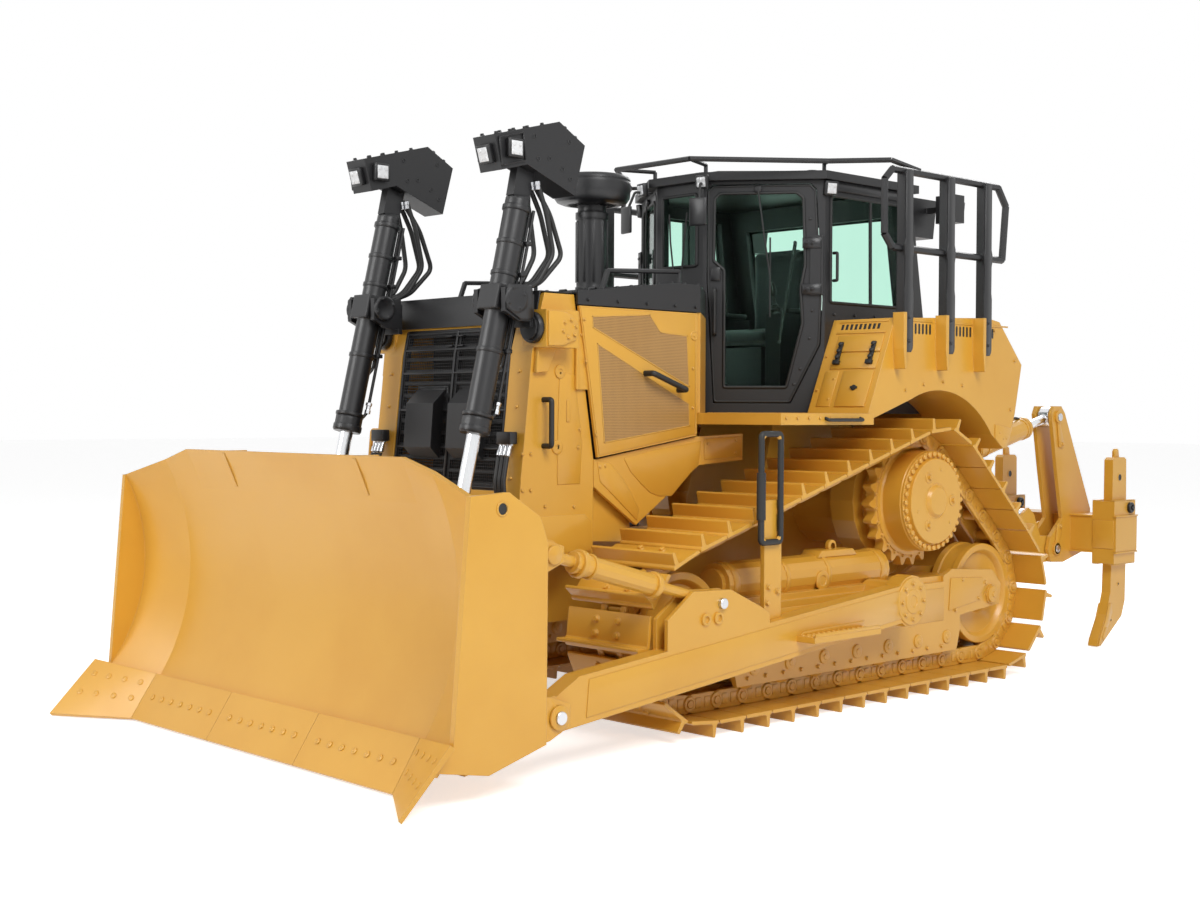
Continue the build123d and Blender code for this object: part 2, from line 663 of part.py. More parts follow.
pane = 6
pane_inset = 15
with BuildPart() as cab_glass:
    front_slab(front_window, cab_front_y + pane_inset, cab_front_y + pane_inset + pane)
    rear_low = cab_rear(rear_window_low) - 2 * pane_inset
    rear_high = cab_rear(rear_window_top) - 2 * pane_inset
    slab([(rear_low, rear_window_low), (rear_low + pane, rear_window_low),
          (rear_high + pane, rear_window_top), (rear_high, rear_window_top)],
         -rear_window_half, rear_window_half)
    for name, sign in left_and_right:
        slab(side_window, *sided(sign, cab_side_x - pane_inset - pane, cab_side_x - pane_inset))
save(cab_glass, "cab_glass")

roof_thickness = 55
with BuildPart() as cab_roof:
    plate(mirrored([(cab_nose_half + 30, cab_front_y - 50), (cab_side_x + 35, cab_side_front - 30),
                    (cab_side_x + 35, cab_rear_y + 40)]), cab_top_z + running_gap, cab_top_z + roof_thickness)
save(cab_roof, "cab_roof")

# Rail round the roof: from the platform's hoop to the cab's corner, along the door and across the front
roof_rail_z = cab_top_z + 108
roof_rail_tube = 18
rail_foot = 14
roof_corner = (cab_side_x + 62, cab_side_front - 50)
roof_front = (cab_nose_half + 123, cab_front_y - 266)
with BuildPart() as all_rails:
    add(guard_rails.part)
    for name, sign in left_and_right:
        corner = (sign * roof_corner[0], roof_corner[1], roof_rail_z)
        front_end = (sign * roof_front[0], roof_front[1], roof_rail_z)
        tube_run([(sign * (fender_outer_x + post[1] / 2), -300, post_high + 15),
                  (sign * (fender_outer_x - 110), -420, roof_rail_z), corner, front_end], roof_rail_tube)
        # feet on the roof, each with an arm out to the rail
        for x, y, joint in ((cab_side_x - 20, cab_side_front + 10, corner),
                            (cab_nose_half + 20, cab_front_y, front_end)):
            rod_between((sign * x, y, cab_top_z + roof_thickness + running_gap), (sign * x, y, roof_rail_z),
                        rail_foot, sides=6)
            tube_run([(sign * x, y, roof_rail_z), joint], rail_foot)
    tube_run([(-roof_front[0], roof_front[1], roof_rail_z), (roof_front[0], roof_front[1], roof_rail_z)],
             roof_rail_tube)
save(all_rails, "guard_rails")

lamp_z = (cab_top_z - 202, cab_top_z - 12)
housing_z = (cab_top_z - 292, cab_top_z - 22)
with BuildPart() as rear_work_lamps:
    for name, sign in left_and_right:
        # housing against the cab's sloping rear wall, with a lamp outboard of it
        slab([(cab_rear(housing_z[0]) + running_gap, housing_z[0]), (600, housing_z[0]), (640, housing_z[1]),
              (cab_rear(housing_z[1]) + running_gap, housing_z[1])],
             *sided(sign, cab_side_x - 145, cab_side_x - 5))
        block(sided(sign, cab_side_x - 5, cab_side_x + 90), (520, 560), (lamp_z[0] + 80, lamp_z[0] + 120))
        block(sided(sign, cab_side_x + 90, cab_side_x + 250), (490, 600), lamp_z)
save(rear_work_lamps, "rear_work_lamps")

for name, sign in left_and_right:
    with BuildPart() as cab_door:
        door_slab(cab_door_outline, sign, 0, door_thickness)
        door_slab(cab_door_glass, sign, -1, door_thickness + 1, Mode.SUBTRACT)
        low, high = cab_hinge_z
        door_slab([(700, low), (cab_hinge_u, low), (cab_hinge_u, high), (700, high)], sign, -18, -8)
        door_slab([(700, low), (730, low), (730, high), (700, high)], sign, -18, 2)
        knuckle_at = door_plane(sign).from_local_coords((cab_hinge_u, low, 0))
        outwards = door_plane(sign).z_dir * sign * (hinge_radius + running_gap)
        with BuildSketch(Plane(origin=knuckle_at + outwards)) as knuckle:
            Circle(hinge_radius)
        extrude(knuckle.sketch, amount=high - low)
    save(cab_door, f"cab_door_{name}")
    with BuildPart() as cab_door_pane:
        door_slab(cab_door_glass, sign, 15, 21)
    save(cab_door_pane, f"cab_door_glass_{name}")

with BuildPart() as seat:
    block((-260, 260), (-560, -60), (cab_floor_z + 418, cab_floor_z + 540))
    block((-250, 250), (-90, 31), (cab_floor_z + 500, cab_floor_z + 1120))
save(seat, "seat")

with BuildPart() as seat_base:
    block((-220, 220), (-520, 20), (cab_floor_z, cab_floor_z + 418))
    block((-110, 110), (31, 70), (cab_floor_z, cab_floor_z + 900))
    for name, sign in left_and_right:
        block(sided(sign, 290, 420), (-560, -60), (cab_floor_z, cab_floor_z + 640))
    block((-170, 170), (-1000, -900), (cab_floor_z, cab_floor_z + 760))
save(seat_base, "seat_base_and_consoles")

# ---------------------------------------------------------------- blade
edge_half = 1289
blade_top = 1606
blade_side_top = 1437
arm_front_pin = (-3582, 311)
brace_front_pin = (-3592, 1120)
brace_rear_pin = (-2335, 779)
arm_middle_x = arm_outer_x - arm_thickness / 2
front_pin_radius = 45
brace_pin_radius = 36
brace_rear_pin_radius = 40
eye_half = 27            # half width of the struts' eyes
eye_radius = 74
edge_top = (-4228, 249)
edge_tip = (-4398, 8)
bit_top = (-4392, 300)
bit_tip = (-4694, 8)
bit_x = 1734
wing_x = blade_half_width - 15
sheet = 34


def blade_section(top, tip, crest, hollow):
    """Closed outline of the moldboard sheet, from the edge's upper line top-tip up to the crest."""
    low = (top[0] + 0.42 * (tip[0] - top[0]), top[1] + 0.42 * (tip[1] - top[1]))
    middle = ((top[0] + crest[0]) / 2 + hollow, (top[1] + crest[1]) / 2)
    with BuildLine() as outline:
        Line(low, top)
        ThreePointArc(top, middle, crest)
        Line(crest, (crest[0] + sheet, crest[1]))
        ThreePointArc((crest[0] + sheet, crest[1]), (middle[0] + sheet, middle[1]),
                      (top[0] + sheet + 6, top[1]))
        Line((top[0] + sheet + 6, top[1]), (low[0] + sheet + 10, low[1] - 10))
        Line((low[0] + sheet + 10, low[1] - 10), low)
    make_face(outline.edges())


def between(start, end, share):
    return tuple(a + (b - a) * share for a, b in zip(start, end))


wing_share = (wing_x - edge_half) / (bit_x - edge_half)
shoulder_top = blade_top - (blade_top - blade_side_top) * (edge_half - blade_centre_half) / (
    blade_half_width - blade_centre_half)
with BuildPart() as blade_wing:
    with BuildSketch(side.offset(blade_centre_half)) as root_section:
        blade_section(edge_top, edge_tip, (-4190, blade_top), 190)
    with BuildSketch(side.offset(edge_half)) as edge_section:
        blade_section(edge_top, edge_tip, (-4190, shoulder_top), 185)
    with BuildSketch(side.offset(wing_x)) as wing_section:
        blade_section(between(edge_top, bit_top, wing_share), between(edge_tip, bit_tip, wing_share),
                      (-4263, blade_side_top), 175)
    loft(sections=[root_section.sketch, edge_section.sketch], ruled=True)
    loft(sections=[edge_section.sketch, wing_section.sketch], ruled=True)
    slab([(-4263, 1440), (-4029, 1452), (-3831, 1328), (-3782, 1202), (-3790, 226), (-4150, 130),
          (-4450, 185), (-4360, 288)], blade_half_width - 32, blade_half_width)
    # lugs for the push arm and for the brace above it
    for lug_x in (arm_outer_x - arm_thickness - 36, arm_outer_x + 6):
        slab([(-3800, 190), (-3800, 430), (-3640, 420), (-3500, 370), (-3500, 260), (-3640, 200)],
             lug_x, lug_x + 30)
    for lug_x in (arm_outer_x - arm_thickness - 6, arm_outer_x - 24):
        slab([(-3800, 1010), (-3800, 1195), (-3620, 1190), (-3520, 1160), (-3520, 1080), (-3620, 1040)],
             lug_x, lug_x + 30)
    cross_pin(arm_front_pin, front_pin_radius, arm_outer_x - arm_thickness - 40, arm_outer_x + 40, sides=12)
    cross_pin(brace_front_pin, brace_pin_radius, arm_outer_x - arm_thickness - 10, arm_outer_x + 10, sides=12)

with BuildPart() as moldboard:
    with BuildSketch(side.offset(-blade_centre_half)):
        blade_section(edge_top, edge_tip, (-4190, blade_top), 190)
    extrude(amount=2 * blade_centre_half)
    add(blade_wing.part)
    mirror(blade_wing.part, about=Plane.YZ)
    for name, sign in left_and_right:
        # clevis for the lift cylinder's rod
        for lug_x in (lift_x - 72, lift_x + 46):
            slab([(-4000, 520), (-4000, 880), (-3640, 800), (-3530, 760), (-3530, 690), (-3640, 620),
                  (-3800, 500)], *sided(sign, lug_x, lug_x + 26))
        # lifting eye on the crest
        with BuildSketch(side.offset(sign * 640 - 14)):
            with BuildLine():
                Polyline((-4185, 1590), (-4165, 1600), (-4165, 1690), (-4060, 1690), (-4030, 1590),
                         (-4060, 1400), (-4100, 1400), close=True)
            make_face()
            with Locations((-4110, 1650)):
                Circle(24, mode=Mode.SUBTRACT)
        extrude(amount=28)
    # box beams across the back, with upright ribs between them
    slab([(-4270, 140), (-3790, 226), (-3790, 560), (-4000, 640), (-4050, 500), (-4200, 260)],
         -blade_half_width + 30, blade_half_width - 30)
    slab([(-4010, 1020), (-3790, 1000), (-3790, 1200), (-3840, 1300), (-4020, 1330)],
         -blade_half_width + 30, blade_half_width - 30)
    for rib in (-1180, -820, -300, 300, 820, 1180):
        slab([(-4020, 520), (-3795, 540), (-3795, 1010), (-4005, 1030)], rib - 14, rib + 14)
save(moldboard, "moldboard")

edge_front = [(y - running_gap, z) for y, z in (edge_top, edge_tip, (-4416, 20), (-4252, 266))]
tip_front = [(y - running_gap, z) for y, z in (bit_top, bit_tip, (-4711, 24), (-4420, 320))]
with BuildPart() as end_bit:
    with BuildSketch(side.offset(edge_half)) as inner_end:
        with BuildLine():
            Polyline(*edge_front, close=True)
        make_face()
    with BuildSketch(side.offset(bit_x)) as outer_end:
        with BuildLine():
            Polyline(*tip_front, close=True)
        make_face()
    loft(sections=[inner_end.sketch, outer_end.sketch], ruled=True)

with BuildPart() as cutting_edge:
    for x_low, x_high in ((-edge_half + 3, -432), (-428, 428), (432, edge_half - 3)):
        slab(edge_front, x_low, x_high)
    add(end_bit.part)
    mirror(end_bit.part, about=Plane.YZ)
save(cutting_edge, "cutting_edge")

# ---------------------------------------------------------------- push arms, brace and tilt cylinder
for name, sign in left_and_right:
    arm_x = sided(sign, arm_outer_x - arm_thickness, arm_outer_x)
    with BuildPart() as push_arm:
        slab([(-3560, 225), (-449, 542), (-449, 774), (-3402, 493), (-3560, 410)], *arm_x)
        cross_pin(arm_front_pin, 104, *arm_x, sides=12)
        cross_pin(blade_arm_pivot, 165, *arm_x, sides=16)
        cross_bore(arm_front_pin, front_pin_radius, *arm_x)
        cross_bore(blade_arm_pivot, arm_pivot_radius, *arm_x)
        for ear in (arm_outer_x - arm_thickness, arm_outer_x - 26):
            slab([(-2762, 400), (-2762, 720), (-2560, 860), (-2260, 850), (-2011, 739), (-1924, 690),
                  (-1924, 560)], *sided(sign, ear, ear + 26))
        cross_pin(brace_rear_pin, brace_rear_pin_radius, *arm_x, sides=12)
        if sign > 0:
            block((arm_outer_x, arm_outer_x + 140), (-1690, -1060), (505, 540))
    save(push_arm, f"push_arm_{name}")

    eye = sided(sign, arm_middle_x - eye_half, arm_middle_x + eye_half)
    x = sign * arm_middle_x
    # the left strut is a plain brace, the right one a cylinder
    body_start, body_radius = (190, 58) if sign > 0 else (330, 62)
    with BuildPart() as strut:
        cross_pin(brace_front_pin, eye_radius, *eye, sides=12)
        cross_pin(brace_rear_pin, eye_radius, *eye, sides=12)
        rod_between((x, *along(brace_front_pin, brace_rear_pin, 55)),
                    (x, *along(brace_rear_pin, brace_front_pin, 55)), 30, sides=12)
        rod_between((x, *along(brace_front_pin, brace_rear_pin, body_start)),
                    (x, *along(brace_rear_pin, brace_front_pin, 470)), body_radius, sides=12)
        cross_bore(brace_front_pin, brace_pin_radius, *eye)
        cross_bore(brace_rear_pin, brace_rear_pin_radius, *eye)
    save(strut, "blade_brace" if sign > 0 else "tilt_cylinder")



def arm_top(y):
    """Height of the push arm's upper edge at a distance behind the sprocket axle."""
    return 774 + (y + 449) * (774 - 493) / (3402 - 449)


post_y = (-1905, -1755)
post_top = 1330
loop_x = arm_outer_x - 40
loop_y = (-1960, -1790)
loop_z = (1090, 1710)
with BuildPart() as grab_post:
    slab([(post_y[0], arm_top(post_y[0]) + running_gap), (post_y[1], arm_top(post_y[1]) + running_gap),
          (post_y[1], post_top), (post_y[0], post_top)], arm_outer_x - 90, arm_outer_x - 60)
    # bent handle in front of the post, on two spacers
    loop = [(loop_y[0], loop_z[0] + 30), (loop_y[0], loop_z[1] - 30), (loop_y[0] + 30, loop_z[1]),
            (loop_y[1] - 30, loop_z[1]), (loop_y[1], loop_z[1] - 30), (loop_y[1], loop_z[0] + 30),
            (loop_y[1] - 30, loop_z[0]), (loop_y[0] + 30, loop_z[0])]
    tube_run([(loop_x, *point) for point in loop + loop[:1]], 16)
    for z in (loop_z[0] + 30, post_top - 80):
        block((arm_outer_x - 61, loop_x), (loop_y[1] - 12, loop_y[1] + 12), (z, z + 30))
save(grab_post, "grab_post")

# ---------------------------------------------------------------- lift cylinders
barrel_low = (-3364, 1708)
barrel_high = (-3053, 3013)
barrel_radius = 70
rod_radius = 40
lift_pivot = along(barrel_high, barrel_low, 579)
lift_length = hypot(barrel_high[0] - barrel_low[0], barrel_high[1] - barrel_low[1])
lift_eye = along(barrel_high, barrel_low, lift_length + 1015)
rod_engaged = 480
trunnion_radius = 52
trunnion_half = 130
collar_half = barrel_radius + 12
lift_way = ((barrel_high[0] - barrel_low[0]) / lift_length, (barrel_high[1] - barrel_low[1]) / lift_length)
collar = [(lift_pivot[0] + 70 * up * lift_way[0] - collar_half * across * lift_way[1],
           lift_pivot[1] + 70 * up * lift_way[1] + collar_half * across * lift_way[0])
          for up, across in ((-1, -1), (1, -1), (1, 1), (-1, 1))]
for name, sign in left_and_right:
    x = sign * lift_x
    low = (x, *barrel_low)
    high = (x, *barrel_high)
    with BuildPart() as barrel:
        rod_between(low, high, barrel_radius)
        rod_between(low, (x, *along(barrel_low, barrel_high, 90)), barrel_radius + 12, sides=16)
        # square collar with the two trunnion pins
        slab(collar, x - collar_half, x + collar_half)
        cross_pin(lift_pivot, trunnion_radius, x - trunnion_half, x - collar_half)
        cross_pin(lift_pivot, trunnion_radius, x + collar_half, x + trunnion_half)
        block((x - 40, x + 40), (-3105, -2995), (2980, 3035))
        rod_bore((x, *along(barrel_low, barrel_high, -20)), (x, *along(barrel_high, barrel_low, 30)),
                 rod_radius)
    save(barrel, f"lift_barrel_{name}")

    with BuildPart() as rod:
        rod_between((x, *along(barrel_low, barrel_high, rod_engaged)), (x, *along(lift_eye, barrel_low, 40)),
                    rod_radius)
        cross_pin(lift_eye, 66, x - 38, x + 38, sides=12)
    save(rod, f"lift_rod_{name}")

    with BuildPart() as lamp_box:
        slab([(-3302, 3339), (-3110, 3390), (-2825, 3465), (-2628, 3353), (-2707, 3060), (-3063, 3199),
              (-3247, 3151)], *sided(sign, 512, 696))
        slab([(-3115, 3035.3), (-2990, 3035.3), (-2960, 3160), (-3080, 3200)], *sided(sign, 574, 634))
    save(lamp_box, f"lamp_box_{name}")

with BuildPart() as yokes:
    for name, sign in left_and_right:
        block(sided(sign, 470, 740), (-3078, -3050), (2300, 2480))
        for arm in (470, 706):
            slab([(-3260, 2380), (-3260, 2510), (-3060, 2510), (-3060, 2330), (-3160, 2330)],
                 *sided(sign, arm, arm + 34))
        cross_bore(lift_pivot, trunnion_radius, *sided(sign, lift_x - 140, lift_x + 140))
        rod_between((sign * 700, -3060, 2300), (sign * 700, -3012, 2300), 70, sides=12)
save(yokes, "lift_yokes")

# ---------------------------------------------------------------- ripper
ripper_x = 620
draft_pivot = (1245, 720)
draft_pin = (2505, 763)
tower_top_pin = (2520, 1808)
lift_lug_pin = (2165, 1028)
tilt_cylinder_pivot = (1195, 1500)
lift_cylinder_pivot = (1225, 1190)
shank_x = (-1000, 0, 1000)
beam_front = 2725
beam_rear = 3057
ear_gap = 6
ear = 32
link_half = 52
pin_radius = 44
ear_in = ripper_x - link_half - ear_gap      # inner face of the inner ear
ear_out = ripper_x + link_half + ear_gap     # inner face of the outer ear
ears = (ear_in - ear, ear_out)

with BuildPart() as ripper_bracket:
    block((-716, 716), (1000, 1040), (600, 1650))
    for name, sign in left_and_right:
        for inner in ears:
            slab([(1030, 600), (1320, 600), (1360, 720), (1330, 1250), (1290, 1560), (1240, 1620),
                  (1030, 1650)],
                 *sided(sign, inner, inner + ear))
        for pin in (draft_pivot, tilt_cylinder_pivot, lift_cylinder_pivot):
            cross_pin(pin, pin_radius, *sided(sign, ear_in, ear_out))
save(ripper_bracket, "ripper_bracket")

with BuildPart() as draft_frame:
    for name, sign in left_and_right:
        link = sided(sign, ripper_x - link_half, ripper_x + link_half)
        slab([(1245, 620), (2505, 663), (2505, 863), (1900, 880), (1245, 820)], *link)
        cross_pin(draft_pivot, 100, *link, sides=12)
        cross_pin(draft_pin, 100, *link, sides=12)
        for lug in (ripper_x - link_half, ripper_x + link_half - 24):
            slab([(1900, 850), (2090, 1060), (2165, 1100), (2240, 1050), (2350, 850)],
                 *sided(sign, lug, lug + 24))
        cross_bore(draft_pivot, pin_radius, *link)
        cross_bore(draft_pin, pin_radius, *link)
    cross_pin((1720, 755), 110, -ripper_x, ripper_x, sides=12)
save(draft_frame, "ripper_draft_frame")

with BuildPart() as ripper_pins:
    for name, sign in left_and_right:
        cross_pin(draft_pin, pin_radius, *sided(sign, ears[0] - 20, ear_out + ear + 20))
save(ripper_pins, "ripper_pins")

with BuildPart() as ripper_beam:
    block((-1110, 1110), (beam_front, beam_rear), (745, 1020))
    for x in shank_x:
        block((x - 95, x + 95), (beam_front, beam_rear), (650, 1145))
    for name, sign in left_and_right:
        for inner in ears:
            slab([(2425, 1830), (2460, 1895), (2570, 1895), (2625, 1840), (beam_rear - 20, 1060),
                  (beam_rear - 20, 745), (2620, 650), (2440, 660), (2395, 760), (2430, 860), (2600, 1000),
                  (2510, 1400)],
                 *sided(sign, inner, inner + ear))
        for boss in (ears[0] - 14, ear_out + ear):
            cross_pin(tower_top_pin, pin_radius, *sided(sign, boss, boss + 14), sides=12)
        cross_bore(draft_pin, pin_radius, *sided(sign, ears[0], ear_out + ear))
    for x in shank_x:
        block((x - 38.3, x + 38.3), (2789.7, 3020.3), (600, 1200), Mode.SUBTRACT)
save(ripper_beam, "ripper_beam")

with BuildPart() as shanks:
    for x in shank_x:
        slab([(2800, 1470), (2830, 1490), (2980, 1490), (3010, 1470), (3020, 700), (3010, 340), (2960, 220),
              (2640, 10), (2580, 8), (2600, 60), (2720, 250), (2780, 420), (2790, 640)], x - 38, x + 38)
save(shanks, "ripper_shanks")

tilt_rod_radius = 36
lift_rod_radius = 25
cylinder_half = 44       # half width of the ripper cylinders' eyes


def tilt_axis(x, distance):
    return (x, *along(tilt_cylinder_pivot, tower_top_pin, distance))


def lift_axis(x, distance):
    return (x, *along(lift_cylinder_pivot, lift_lug_pin, distance))


tilt_reach = hypot(tower_top_pin[0] - tilt_cylinder_pivot[0], tower_top_pin[1] - tilt_cylinder_pivot[1])
lift_reach = hypot(lift_lug_pin[0] - lift_cylinder_pivot[0], lift_lug_pin[1] - lift_cylinder_pivot[1])
with BuildPart() as tilt_barrels:
    for name, sign in left_and_right:
        x = sign * ripper_x
        cross_pin(tilt_cylinder_pivot, 88, x - cylinder_half, x + cylinder_half, sides=12)
        rod_between(tilt_axis(x, 60), tilt_axis(x, 280), 47, sides=12)
        rod_between(tilt_axis(x, 260), tilt_axis(x, 1000), 82, sides=16)
        cross_bore(tilt_cylinder_pivot, pin_radius, x - cylinder_half, x + cylinder_half)
        rod_bore(tilt_axis(x, 310), tilt_axis(x, 1060), tilt_rod_radius)
save(tilt_barrels, "ripper_tilt_barrels")

with BuildPart() as tilt_rods:
    for name, sign in left_and_right:
        x = sign * ripper_x
        rod_between(tilt_axis(x, 640), tilt_axis(x, tilt_reach - 40), tilt_rod_radius, sides=12)
        cross_pin(tower_top_pin, 82, x - cylinder_half, x + cylinder_half, sides=12)
save(tilt_rods, "ripper_tilt_rods")

with BuildPart() as lift_barrels:
    for name, sign in left_and_right:
        x = sign * ripper_x
        cross_pin(lift_cylinder_pivot, 80, x - cylinder_half, x + cylinder_half, sides=12)
        rod_between(lift_axis(x, 60), lift_axis(x, 220), 40, sides=12)
        rod_between(lift_axis(x, 205), lift_axis(x, 620), 70, sides=16)
        cross_bore(lift_cylinder_pivot, pin_radius, x - cylinder_half, x + cylinder_half)
        rod_bore(lift_axis(x, 230), lift_axis(x, 700), lift_rod_radius)
save(lift_barrels, "ripper_lift_barrels")

with BuildPart() as lift_rods:
    for name, sign in left_and_right:
        x = sign * ripper_x
        rod_between(lift_axis(x, 420), lift_axis(x, lift_reach - 30), lift_rod_radius - 4, sides=8)
        rod_between(lift_axis(x, 420), lift_axis(x, lift_reach - 200), lift_rod_radius, sides=12)
        cross_pin(lift_lug_pin, 62, x - 22, x + 22, sides=12)
save(lift_rods, "ripper_lift_rods")
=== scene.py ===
import math

import bmesh
import bpy
from mathutils import Matrix, Vector


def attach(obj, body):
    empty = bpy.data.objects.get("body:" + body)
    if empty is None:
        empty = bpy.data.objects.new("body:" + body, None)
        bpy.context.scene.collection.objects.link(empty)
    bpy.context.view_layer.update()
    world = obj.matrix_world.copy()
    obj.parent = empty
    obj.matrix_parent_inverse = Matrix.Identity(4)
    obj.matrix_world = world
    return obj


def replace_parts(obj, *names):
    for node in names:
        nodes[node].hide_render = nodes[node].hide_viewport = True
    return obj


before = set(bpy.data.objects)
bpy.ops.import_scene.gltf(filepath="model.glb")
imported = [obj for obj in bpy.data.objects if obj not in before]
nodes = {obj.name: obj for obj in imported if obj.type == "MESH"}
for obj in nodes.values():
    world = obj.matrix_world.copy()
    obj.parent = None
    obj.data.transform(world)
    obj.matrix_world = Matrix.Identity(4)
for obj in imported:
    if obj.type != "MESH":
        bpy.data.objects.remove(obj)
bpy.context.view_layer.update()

# ---------------------------------------------------------------- camera, floor and light
# A pale studio: a white floor that runs out of sight, soft daylight from all round and a large
# key lamp over the left side of the machine. The camera stands off the blade's left corner.
stage = bpy.context.scene
stage.view_settings.view_transform = "Standard"

heading = math.radians(46.264)
pitch = math.radians(-1.417)
roll = math.radians(0.225)
looking = Vector((-math.sin(heading) * math.cos(pitch), math.cos(heading) * math.cos(pitch), math.sin(pitch)))
level = Vector((math.cos(heading), math.sin(heading), 0))
upright = level.cross(looking)
right = math.cos(roll) * level + math.sin(roll) * upright
above = math.cos(roll) * upright - math.sin(roll) * level

camera_data = bpy.data.cameras.new("camera")
camera_data.sensor_width = 36
camera_data.lens = 48.19
camera_data.shift_x = -0.0006
camera_data.shift_y = 0.0024
camera = bpy.data.objects.new("camera", camera_data)
facing = Matrix((right, above, -looking)).transposed().to_4x4()
camera.matrix_world = Matrix.Translation((7.4249, -8.1054, 1.8257)) @ facing
stage.collection.objects.link(camera)
stage.camera = camera


def feed(tree, sockets, values):
    """Sets sockets to plain values, or links them where the value is another node's output."""
    for name, value in values.items():
        if isinstance(value, bpy.types.NodeSocket):
            tree.links.new(value, sockets[name])
        else:
            sockets[name].default_value = value


def node(tree, kind, values=None, out=0, **settings):
    """Adds a node, feeds its inputs and gives back one of its outputs."""
    made = tree.nodes.new("ShaderNode" + kind)
    for setting, value in settings.items():
        setattr(made, setting, value)
    feed(tree, made.inputs, values or {})
    return made.outputs[out]


def lights_only(tree, dim, bright):
    """A strength that is dim for the light on the machine and bright where the backdrop itself is seen."""
    rays = tree.nodes.new("ShaderNodeLightPath").outputs
    total = rays["Is Camera Ray"]
    for kind in ("Is Glossy Ray", "Is Transmission Ray"):
        total = node(tree, "Math", {0: total, 1: rays[kind]}, operation="MAXIMUM")
    return node(tree, "MapRange", {"Value": total, "To Min": dim, "To Max": bright})


def new_material(name):
    """A new material, its node tree and the sockets of its surface."""
    material = bpy.data.materials.new(name)
    material.use_nodes = True
    tree = material.node_tree
    return material, tree, tree.nodes["Principled BSDF"].inputs


world = bpy.data.worlds.new("daylight")
world.use_nodes = True
stage.world = world
sky = world.node_tree
feed(sky, sky.nodes["Background"].inputs, {"Color": (1, 1, 1, 1), "Strength": lights_only(sky, 0.34, 1.0)})


def lamp(name, place, target, size, power):
    """A round soft lamp that hangs at a place and faces its target."""
    data = bpy.data.lights.new(name, "AREA")
    data.shape = "DISK"
    data.size = size
    data.energy = power
    obj = bpy.data.objects.new(name, data)
    facing = (Vector(target) - Vector(place)).to_track_quat("-Z", "Y")
    obj.matrix_world = Matrix.Translation(place) @ facing.to_matrix().to_4x4()
    stage.collection.objects.link(obj)


lamp("key", (11, -5, 11), (0, 0, 1), 7, 1380)
lamp("front", (-3, -13, 7), (0, -2, 1), 6, 560)
lamp("rear", (-4, 11, 9), (0, 1, 2), 6, 420)

floor_shape = bmesh.new()
bmesh.ops.create_grid(floor_shape, x_segments=1, y_segments=1, size=90)
floor_mesh = bpy.data.meshes.new("floor")
floor_shape.to_mesh(floor_mesh)
floor_shape.free()
floor = bpy.data.objects.new("floor", floor_mesh)
stage.collection.objects.link(floor)
floor_paint, floor_tree, floor_sockets = new_material("white_floor")
glow = lights_only(floor_tree, 0.06, 0.62)
feed(floor_tree, floor_sockets, {"Base Color": (0.93, 0.93, 0.93, 1), "Roughness": 0.9,
    "Specular IOR Level": 0.1, "Emission Color": (1, 1, 1, 1), "Emission Strength": glow})
floor_mesh.materials.append(floor_paint)

# ---------------------------------------------------------------- yellow steel
# Everything structural is welded steel plate in thick two-coat paint: satin, with a fine orange
# peel, a slightly deeper tone in broad clouds, and a paler painted highlight along the rounded plate edges.
PAINT_YELLOW = (0.7, 0.37, 0.042)
PAINT_DEEP = (0.62, 0.3, 0.028)
# paler colour of rounded edges: a painted highlight where light catches them
PAINT_EDGE_HIGHLIGHT = (0.8, 0.5, 0.15)


def painted_steel(name, light, deep, edge_highlight, roughness=0.36, coat=0.25, peel=0.12, edge=0.007, metallic=0.0):
    """Two-coat paint, clouded between two tones, with a paler painted highlight on rounded edges, and orange
    peel.
    """
    material, tree, sockets = new_material(name)
    place = node(tree, "TexCoord", out="Object")
    cloud = node(tree, "TexNoise", {"Vector": place, "Scale": 1.7, "Detail": 5}, "Fac")
    spread = node(tree, "MapRange", {"Value": cloud, "From Min": 0.4, "From Max": 0.75, "To Max": 0.55})
    tone = node(tree, "Mix", {"Factor": spread, "A": (*light, 1), "B": (*deep, 1)}, "Result", data_type="RGBA")
    rounded = node(tree, "Bevel", {"Radius": edge}, samples=4)
    flat = node(tree, "NewGeometry", out="Normal")
    lean = node(tree, "VectorMath", operation="DOT_PRODUCT", values={0: rounded, 1: flat}, out="Value")
    # edge mask from the Bevel normal: rounded edges get the painted highlight colour
    edge_highlight_mask = node(tree, "MapRange", {"Value": lean, "From Min": 0.96, "From Max": 0.78, "To Max": 0.5})
    highlighted_tone = node(tree, "Mix", {"Factor": edge_highlight_mask, "A": tone, "B": (*edge_highlight, 1)}, "Result", data_type="RGBA")
    gloss = node(tree, "MapRange", {"Value": cloud, "To Min": roughness - 0.05, "To Max": roughness + 0.1})
    grain = node(tree, "TexNoise", {"Vector": place, "Scale": 240, "Detail": 2}, "Fac")
    bump = node(tree, "Bump", {"Strength": peel, "Distance": 0.001, "Height": grain, "Normal": rounded})
    feed(tree, sockets, {"Base Color": highlighted_tone, "Metallic": metallic, "Roughness": gloss, "Normal": bump,
        "Coat Weight": coat, "Coat Roughness": 0.18})
    return material


def dress(material, *names):
    """Gives CAD pieces their material."""
    for name in names:
        mesh = nodes[name].data
        mesh.materials.clear()
        mesh.materials.append(material)


yellow = painted_steel("yellow_paint", PAINT_YELLOW, PAINT_DEEP, PAINT_EDGE_HIGHLIGHT)
dress(yellow, "moldboard", "push_arm_left", "push_arm_right", "blade_brace", "tilt_cylinder", "radiator_guard",
    "engine_door_left", "engine_door_right", "side_shields", "cowl", "fender_left", "fender_right", "rear_tank",
    "ripper_bracket", "ripper_draft_frame", "ripper_beam", "ripper_pins", "track_left", "track_right",
    "sprockets", "final_drives", "idlers", "rollers", "track_frame_left", "track_frame_right", "main_case",
    "ripper_shanks", "cutting_edge", "ripper_tilt_barrels", "ripper_lift_barrels", "grab_post")

